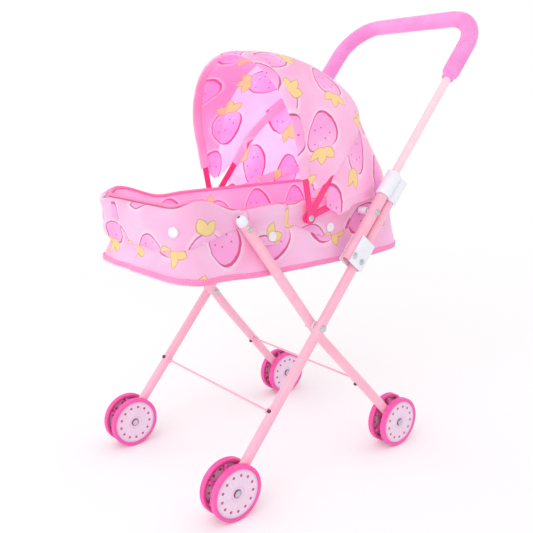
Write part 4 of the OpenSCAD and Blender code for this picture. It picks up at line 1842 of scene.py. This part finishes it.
        def place(i: int, j: int) -> Vector:
            """A point of the wall, which turns in at its foot."""
            y = self.plan.walk(run[j])[0].y
            t = i / (rows - 1)
            top = self.rim(y) - 1.2 * MM
            z = top + (base - top) * min(t * 1.08, 1.0)
            curl = smooth(0.82, 1.0, t)
            wave = noise.noise(Vector((run[j] / 0.03, z / 0.03, 8.0))) + 0.6 * math.sin(run[j] / (11 * MM))
            inset = 9.6 * MM + 2.2 * MM * smooth(0.0, 0.25, t)
            inset += 1.3 * MM * wave * math.sin(math.pi * min(t, 1.0)) + bend * curl**2
            return self.spot(run[j], z, -inset)

        sheet = Weave(rows, cols, place, lambda i, j: (run[j] + LINING_SHIFT, -i * 4.6 * MM), ring_cols=True)
        made = ride(
            sheet.make("basket_lining", Finishes.LINING, 0.6 * MM), "basket", "print_fabric", "basket_liner"
        )
        self.floor_cloth(base, cols)

    def floor_cloth(self, base: float, cols: int) -> None:
        """Makes the lining's floor as rings that shrink to the middle.

        Args:
            base: the floor's height.
            cols: the number of steps round.
        """
        rings = 9
        middle = Vector((0, (self.plan.front + self.plan.back) / 2, 0))

        def place(i: int, j: int) -> Vector:
            """A point of the floor, with a few soft folds."""
            edge = self.plan.walk(self.plan.girth * j / cols, 15 * MM)[0]
            spot = middle + (edge - middle) * (1 - i / rings)
            lift = 0.7 * MM * noise.noise(Vector((spot.x / 0.05, spot.y / 0.04, 1.0)))
            return Vector((spot.x, spot.y, base + 0.5 * MM + abs(lift)))

        def flat(i: int, j: int) -> tuple[float, float]:
            """The floor is cut flat, so its map is its plan."""
            spot = place(i, j)
            return spot.x + FLOOR_SHIFT, spot.y

        sheet = Weave(rings + 1, cols, place, flat, ring_cols=True)
        made = ride(sheet.make("basket_floor_cloth", Finishes.LINING, 0.6 * MM), "basket", "print_fabric")

    def roll(
        self,
        name: str,
        centre: Callable[[float], tuple[Vector, Vector]],
        wide: float,
        high: float,
        finish: Finishes,
    ) -> bpy.types.Object:
        """Makes a closed roll of cloth round the whole basket.

        Args:
            name: the piece's name.
            centre: gives the roll's middle and the way out at a walk round the plan.
            wide, high: half its width and height.
            finish: its cloth.

        Returns:
            The roll.
        """
        cols, rows = self.ring(), 12
        run = [self.plan.girth * j / cols for j in range(cols + 1)]

        def place(i: int, j: int) -> Vector:
            """A point of the roll, with a slight pucker."""
            spot, out = centre(run[j])
            turn = math.tau * i / rows
            pucker = 1 + 0.12 * noise.noise(Vector((run[j] / 0.006, i * 0.5, 0)))
            return spot + (out * math.cos(turn) * wide + Vector((0, 0, math.sin(turn) * high))) * pucker

        sheet = Weave(
            rows,
            cols,
            place,
            lambda i, j: (run[j], i / rows * math.pi * (wide + high)),
            ring_cols=True,
            ring_rows=True,
        )
        return sheet.make(name, finish, 0.0)

    def rim_tape(self) -> None:
        """Makes the taped roll along the rim's inner edge."""

        def centre(run: float) -> tuple[Vector, Vector]:
            """The roll's middle."""
            spot, out = self.plan.walk(run, 8.3 * MM)
            return Vector((spot.x, spot.y, self.rim(spot.y) + 0.1 * MM)), out

        made = self.roll("rim_roll", centre, 2.7 * MM, 2.2 * MM, Finishes.BINDING)
        ride(made, "basket", "binding", "rim_binding")

    def hem_tape(self) -> None:
        """Makes the folded tape over the hem, and its row of stitches."""
        half = self.hem_w / 2

        def centre(run: float) -> tuple[Vector, Vector]:
            """The tape's middle, which follows the skirt."""
            y = self.plan.walk(run)[0].y
            z = self.hem(y) + half
            out = self.plan.walk(run)[1]
            return self.spot(run, z, self.swell(run, y, z)), out

        made = self.roll("hem_tape", centre, 1.15 * MM, half, Finishes.BINDING)
        ride(made, "basket", "binding", "hem_binding")
        count = round(self.plan.girth / (3 * MM))
        line, facing = [], []
        for k in range(count + 1):
            spot, out = centre(self.plan.girth * k / count)
            line.append(spot + out * 0.85 * MM + Vector((0, 0, half * 0.62)))
            facing.append(out)
        ride(sew("hem_stitches", line, facing), "basket", "binding")

    def buttons(self) -> None:
        """Sets the snap buttons on the corners and sides."""
        r, t = self.snap_r, 1.7 * MM
        profile = [
            (-1.0 * MM, 0.02 * MM), (-1.0 * MM, r * 0.7), (0.2 * MM, r * 0.94), (0.7 * MM, r),
            (t * 0.75, r), (t, r * 0.9), (t, r * 0.72), (t * 0.72, r * 0.64), (t * 0.72, r * 0.3),
            (t * 0.9, 0.02 * MM),
        ]
        snap = shape("snap", *lathe(profile, 28))
        spots = []
        for sign in (1.0, -1.0):
            runs = [(self.plan.side_run(y), self.snap_z) for y in self.side_snaps]
            runs.append((self.corner_run, self.corner_z))
            for run, z in runs:
                y = self.plan.walk(run)[0].y
                spot = self.spot(sign * run, z, self.swell(run, y, z) + self.layer + 0.3 * MM)
                spots.append((spot, self.plan.walk(sign * run)[1]))
        made = set_parts("snap_button_set", snap, spots, Finishes.WHITE_PLASTIC)
        ride(made, "basket", "white_plastic", "snap_buttons")


# ---------------------------------------------------------------- hood


@dataclass(frozen=True)
class Arch:
    """The hood's section along a slope: two straight sides and a round top."""

    side: float = 88 * MM

    def half(self, half_in: float, start: float) -> float:
        """The length from the crown to a lower edge that is start from the pivot."""
        return math.pi / 2 * half_in + self.side - start

    def at(self, reach: float, half_in: float) -> tuple[float, float, float, float]:
        """Walks from the crown.

        Args:
            reach: the distance from the crown, positive to the left.
            half_in: half the arch's width.

        Returns:
            The place across, the distance from the pivot, and the outward direction in those.
        """
        bend = math.pi / 2 * half_in
        sign = 1.0 if reach >= 0 else -1.0
        if abs(reach) <= bend:
            turn = reach / half_in
            sin, cos = math.sin(turn), math.cos(turn)
            return half_in * sin, self.side + half_in * cos, sin, cos
        return sign * half_in, self.side - (abs(reach) - bend), sign, 0.0


@dataclass
class Hood:
    """The folding hood: three flat bows, a front and a back gore, channels and piping."""

    places: Places
    arch: Arch = Arch()
    rear: float = 15.0
    middle: float = 52.0
    front: float = 100.5
    rear_half: float = 91.9 * MM
    middle_half: float = 94.0 * MM
    back_half: float = 95.7 * MM
    front_bow_half: float = 97.4 * MM
    front_half: float = 98.9 * MM
    # The slope past which the hood's inner side takes the pinker copy of the print that paints shade.
    facing: float = 79.0
    cols: int = 130

    def point(
        self, slope: float, reach: float, half_in: float, out: float = 0.0, along: float = 0.0
    ) -> Vector:
        """A point of the hood.

        Args:
            slope: the slope about the pivots, in degrees from straight back.
            reach: the distance from the crown along the arch.
            half_in: half the arch's width.
            out: how far outside the arch.
            along: how far forward of the slope, square to it.

        Returns:
            The point in the frame.
        """
        x, r, nx, nr = self.arch.at(reach, half_in)
        turn = math.radians(slope)
        r += nr * out
        way, ahead = Vector((0, math.cos(turn), math.sin(turn))), Vector((0, -math.sin(turn), math.cos(turn)))
        hub = Vector((0, self.places.hood.y, self.places.hood.z))
        return hub + Vector((x + nx * out, 0, 0)) + way * r + ahead * along

    def build(self) -> None:
        """Makes the bows and every cloth of the hood."""
        bows = (("rear_bow", "basket"), ("middle_bow", "hood_middle"), ("front_bow", "hood_front"))
        for name, body in bows:
            strip = soften(self.places.nodes[name], f"{name}_strip", Finishes.BOW_PLASTIC, 0.5 * MM)
            ride(strip, body, "bow_plastic", name)
        self.front_gore()
        self.back_gore()
        self.channel(
            "front_channel", self.front, self.front_bow_half, 46 * MM, 6.8 * MM, 2.3 * MM, Finishes.PRINT,
            "hood_front",
        )
        self.channel(
            "middle_channel", self.middle, self.middle_half, 60 * MM, 6.2 * MM, 1.45 * MM, Finishes.LINING,
            "hood_middle",
        )
        self.channel(
            "rear_channel", self.rear, self.rear_half, 44 * MM, 6.2 * MM, 1.5 * MM, Finishes.LINING,
            "basket",
        )

    def gore(
        self,
        name: str,
        half_in: float,
        starts: Sequence[tuple[float, float]],
        slopes: Callable[[float], tuple[float, float]],
        lift: Callable[[float, float, float], float],
        rows: int,
        shift: float,
    ) -> tuple[bpy.types.Object, Callable[[int, int], Vector]]:
        """Makes one gore of the hood.

        Args:
            name: the piece's name.
            half_in: half the arch's width.
            starts: how far from the pivot the lower edge is, by slope.
            slopes: the front and back slope of the gore at a share of the way down its sides.
            lift: how far the cloth stands out, by slope, reach and distance from the pivot.
            rows: the number of rows.
            shift: where the gore lies on the print.

        Returns:
            The gore, and its grid of points.
        """

        def spot(i: int, j: int) -> tuple[float, float, float]:
            """A grid point's slope, reach and distance from the pivot."""
            share = 2 * j / (self.cols - 1) - 1
            first, last = slopes(abs(share))
            slope = first + (last - first) * i / (rows - 1)
            reach = share * self.arch.half(half_in, along_stops(starts, slope))
            return slope, reach, self.arch.at(reach, half_in)[1]

        def place(i: int, j: int) -> Vector:
            """A grid point."""
            slope, reach, r = spot(i, j)
            return self.point(slope, reach, half_in, lift(slope, reach, r))

        def flat(i: int, j: int) -> tuple[float, float]:
            """The cut lies flat along its middle slope."""
            slope, reach, r = spot(i, j)
            return reach + shift, math.radians(slope - 60) * r + shift * 0.4

        def inner(i: int, j: int) -> Finishes:
            """The inner side's cloth: along the front edge, a pinker copy of the print that paints shade and
            light coming through; elsewhere a paler copy that paints light coming through.
            """
            return Finishes.FACING if spot(i, j)[0] > self.facing else Finishes.HOOD_INSIDE

        sheet = Weave(rows, self.cols, place, flat, inner=inner)
        return sheet.make(name, Finishes.PRINT, 0.6 * MM), place

    def creases(self, slope: float, reach: float, r: float, seed: float) -> float:
        """Soft creases: broad ones all over, and pleats that gather towards the pivots.

        Args:
            slope, reach, r: the place on the hood.
            seed: which creases.

        Returns:
            The height of the cloth, about -1 to 1 mm.
        """
        arc = math.radians(slope) * 0.15
        broad = noise.noise(Vector((reach / 0.05, arc / 0.03, seed)))
        fine = noise.noise(Vector((reach / 0.022, arc / 0.012, seed + 9)))
        gather = smooth(120 * MM, 45 * MM, r)
        pleats = math.sin(slope / 4.3 + seed + reach / 0.09)
        return 0.9 * MM * broad + 0.4 * MM * fine + 0.7 * MM * gather * pleats

    def front_gore(self) -> None:
        """Makes the front gore, between the front and middle bows."""
        starts = [
            (48.0, 60 * MM), (53.0, 58 * MM), (61.0, 42 * MM), (70.0, 34 * MM), (82.0, 31 * MM),
            (92.0, 37 * MM), (99.5, 47 * MM),
        ]
        tail = self.middle - 3.2

        def lift(slope: float, reach: float, r: float) -> float:
            """The cloth dips between its bows and ends flat on the back gore."""
            span = (slope - self.middle) / (self.front - self.middle)
            sag = -2.1 * MM * math.sin(math.pi * min(max(span, 0.0), 1.0)) ** 0.8
            ridge = 0.9 * MM * math.exp(-(((slope - self.middle) / 2.0) ** 2))
            tucked = -2.1 * MM * smooth(self.middle + 6, tail, slope)
            calm = smooth(0.0, 7.0, self.front - slope) * smooth(tail, tail + 7, slope)
            return sag + ridge + tucked + self.creases(slope, reach, r, 2.0) * (0.15 + 0.85 * calm)

        rows = 30
        slopes = (self.front - 1.0, tail)
        made, place = self.gore("front_gore", self.front_half, starts, lambda share: slopes, lift, rows, 0.2)
        ride(made, "hood_front", "print_fabric", "hood_front_panel")
        edge = [place(rows - 1, j) for j in range(1, self.cols - 1)]
        inward = [place(rows - 2, j) - place(rows - 1, j) for j in range(1, self.cols - 1)]
        out = [(p - self.hub_line(p)).normalized() for p in edge]
        line = [
            p + way * 0.015 + n * 0.45 * MM + way.normalized() * 2 * MM
            for p, way, n in zip(edge, inward, out)
        ]
        ride(sew("front_gore_stitches", line, out), "hood_front", "binding")

    def hub_line(self, spot: Vector) -> Vector:
        """The nearest point to a place on the middle of the hood's round top."""
        hub = self.places.hood
        away = Vector((0, spot.y - hub.y, spot.z - hub.z))
        reach = min(away.length, self.arch.side)
        return Vector((0, hub.y, hub.z)) + away.normalized() * reach

    def back_gore(self) -> None:
        """Makes the back gore, over the rear bow and down behind the basket."""
        starts = [
            (0.0, 42 * MM), (15.0, 31 * MM), (24.0, 28 * MM), (36.0, 32 * MM), (45.0, 41 * MM),
            (52.0, 59 * MM), (56.0, 62 * MM),
        ]
        edge = [
            (30 * MM, 4.0), (44 * MM, 0.0), (58 * MM, 3.0), (74 * MM, 8.0), (96 * MM, 8.0), (128 * MM, 6.0),
            (150 * MM, 8.0), (163 * MM, 1.0), (184 * MM, -4.0),
        ]
        total = self.arch.half(self.back_half, 42 * MM)

        def slopes(share: float) -> tuple[float, float]:
            """The gore ends lower behind the basket than beside it."""
            return self.middle + 3.0, along_stops(edge, self.arch.at(share * total, self.back_half)[1])

        def lift(slope: float, reach: float, r: float) -> float:
            """The cloth dips between its bows and flares where it hangs free."""
            span = min(max((slope - self.rear) / (self.middle - self.rear), 0.0), 1.0)
            sag = -6.5 * MM * math.sin(math.pi * span) * smooth(40 * MM, 120 * MM, r)
            ridge = 0.8 * MM * math.exp(-(((slope - self.rear) / 2.6) ** 2))
            free = smooth(self.rear, -4.0, slope)
            flare = (9.0 * MM * smooth(120 * MM, 170 * MM, r) + 1.4 * MM) * free
            calm = smooth(0.0, 8.0, self.middle + 3 - slope)
            creased = 0.1 + calm * (0.55 + 1.2 * free)
            return sag + ridge + flare + self.creases(slope, reach, r, 5.0) * creased

        rows = 34
        made, place = self.gore("back_gore", self.back_half, starts, slopes, lift, rows, 0.9)
        ride(made, "basket", "print_fabric", "hood_back_panel")
        self.piping([place(rows - 1, j) for j in range(self.cols)])

    def piping(self, line: Sequence[Vector]) -> None:
        """Makes the pale piping along the back gore's lower edge."""
        girth = [1.15 * MM] * len(line)
        source = marked_points("piping", line, True, girth=girth, ribbed=[0.0] * len(line))
        made = sleeve_pattern().run(
            source, "hood_piping", Rib_Pitch=4 * MM, Rib_Depth=0.0, Sides=10,
            Finish=Finishes.PALE_BINDING.material(),
        )
        ride(made, "basket", "binding")

    def channel(
        self,
        name: str,
        slope: float,
        half_in: float,
        start: float,
        wide: float,
        high: float,
        finish: Finishes,
        body: str,
    ) -> None:
        """Makes the sewn channel that holds a bow.

        Args:
            name: the piece's name.
            slope: the bow's slope.
            half_in: half the arch's width at the bow's middle.
            start: how far from the pivot the channel begins.
            wide, high: half its width and thickness.
            finish: its cloth.
            body: the body that it rides on.
        """
        rows = 14
        half = self.arch.half(half_in, start)

        def place(i: int, j: int) -> Vector:
            """A point of the channel, slightly puckered."""
            turn = math.tau * i / rows
            reach = half * (2 * j / (self.cols - 1) - 1)
            cos, sin = math.cos(turn), math.sin(turn)
            pucker = 1 + 0.1 * noise.noise(Vector((reach / 0.012, i * 0.7, slope)))
            along = wide * math.copysign(abs(cos) ** 0.75, cos)
            return self.point(slope, reach, half_in, high * sin * pucker, along)

        def flat(i: int, j: int) -> tuple[float, float]:
            """The strip lies flat along its length."""
            along = half * (2 * j / (self.cols - 1) - 1) + 0.2
            return along, i / rows * 4 * wide + math.radians(slope - 60) * 0.17

        sheet = Weave(rows, self.cols, place, flat, ring_rows=True)
        made = ride(sheet.make(name, finish, 0.0), body, "print_fabric")
        2 * half


# ---------------------------------------------------------------- studio


@dataclass(frozen=True)
class Studio:
    """A pale floor, soft light and the camera."""

    camera_at: Vector = Vector((657.3, -582.5, 436.9)) * MM
    heading: float = 50.9
    dip: float = 13.26
    tilt: float = -0.59
    lens: float = 46.4

    def build(self) -> None:
        """Makes the floor, the lights and the camera."""
        self.floor()
        self.light("key", Vector((0.9, -1.3, 1.7)), 1.6, 7.5)
        self.light("fill", Vector((-1.6, -0.7, 1.2)), 1.8, 4)
        self.light("front", Vector((0.1, -2.0, 0.75)), 1.5, 6)
        self.light("back", Vector((0.3, 1.7, 1.5)), 1.6, 4)
        world = bpy.data.worlds.new("soft room")
        world.use_nodes = True
        room = Graph(world.node_tree)
        room.tree.nodes.clear()
        seen = room.node("ShaderNodeLightPath").outputs["Is Camera Ray"]
        glow = room.node("ShaderNodeBackground", None, {"Color": (1.0, 0.99, 0.995), "Strength": 0.8})
        paper = room.node("ShaderNodeBackground", None, {"Color": (1.0, 1.0, 1.0), "Strength": 1.0})
        both = room.node(
            "ShaderNodeMixShader",
            None,
            {0: Sock(room, seen), 1: Sock(room, glow.outputs[0]), 2: Sock(room, paper.outputs[0])},
        )
        room.node("ShaderNodeOutputWorld", None, {"Surface": Sock(room, both.outputs[0])})
        bpy.context.scene.world = world
        bpy.context.scene.view_settings.view_transform = "Standard"
        self.camera()

    def floor(self) -> None:
        """Makes the floor, a wide pale sheet."""
        s = Shader("pale floor")
        cloud = s.noise(s.place(), 0.8, 2)
        x, y, _ = s.split(s.place())
        far = (x * x + y * y).fn("SQRT").step(0.45, 1.5)
        paper = s.mix(cloud, srgb(254, 252, 253), srgb(251, 250, 251))
        s.finish(
            Base_Color=s.mix(far, paper, (0.0, 0.0, 0.0)),
            Roughness=0.7 + cloud * 0.1,
            Emission_Color=s.mix(far, (0.06, 0.06, 0.06), (1.0, 1.0, 1.0)),
            Emission_Strength=1.0,
            Specular_IOR_Level=0.0,
        )
        size = 60.0
        corners = [Vector((x * size, y * size, -0.0005)) for x, y in ((-1, -1), (1, -1), (1, 1), (-1, 1))]
        floor = shape("floor", corners, [[0, 1, 2, 3]])
        floor.data.materials.append(s.material)

    def light(self, name: str, at: Vector, size: float, power: float) -> None:
        """Hangs a soft square light that looks at the stroller's middle."""
        data = bpy.data.lights.new(name, "AREA")
        data.size, data.energy = size, power
        lamp = bpy.data.objects.new(name, data)
        lamp.location = at
        lamp.rotation_euler = (Vector((0, 0, 0.28)) - at).to_track_quat("-Z", "Y").to_euler()
        bpy.context.scene.collection.objects.link(lamp)

    def camera(self) -> None:
        """Sets up the camera."""
        data = bpy.data.cameras.new("camera")
        data.lens, data.sensor_width = self.lens, 36
        made = bpy.data.objects.new("camera", data)
        turn = Matrix.Rotation(math.radians(self.heading), 4, "Z")
        nod = Matrix.Rotation(math.radians(90 - self.dip), 4, "X")
        roll = Matrix.Rotation(math.radians(self.tilt), 4, "Z")
        made.matrix_world = Matrix.Translation(self.camera_at) @ turn @ nod @ roll
        bpy.context.scene.collection.objects.link(made)
        bpy.context.scene.camera = made


def main() -> None:
    """Builds the stroller on its frame, sub-assembly by sub-assembly."""
    logging.basicConfig(level=logging.INFO, format="%(name)s: %(message)s")
    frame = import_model()
    Studio().build()
    places = Places.read(frame)
    for part in (Chassis(places), Wheels(places), Grip(places), Basket(places), Hood(places)):
        LOG.info("building the %s", type(part).__name__.lower())
        part.build()


if __name__ == "__main__":
    main()
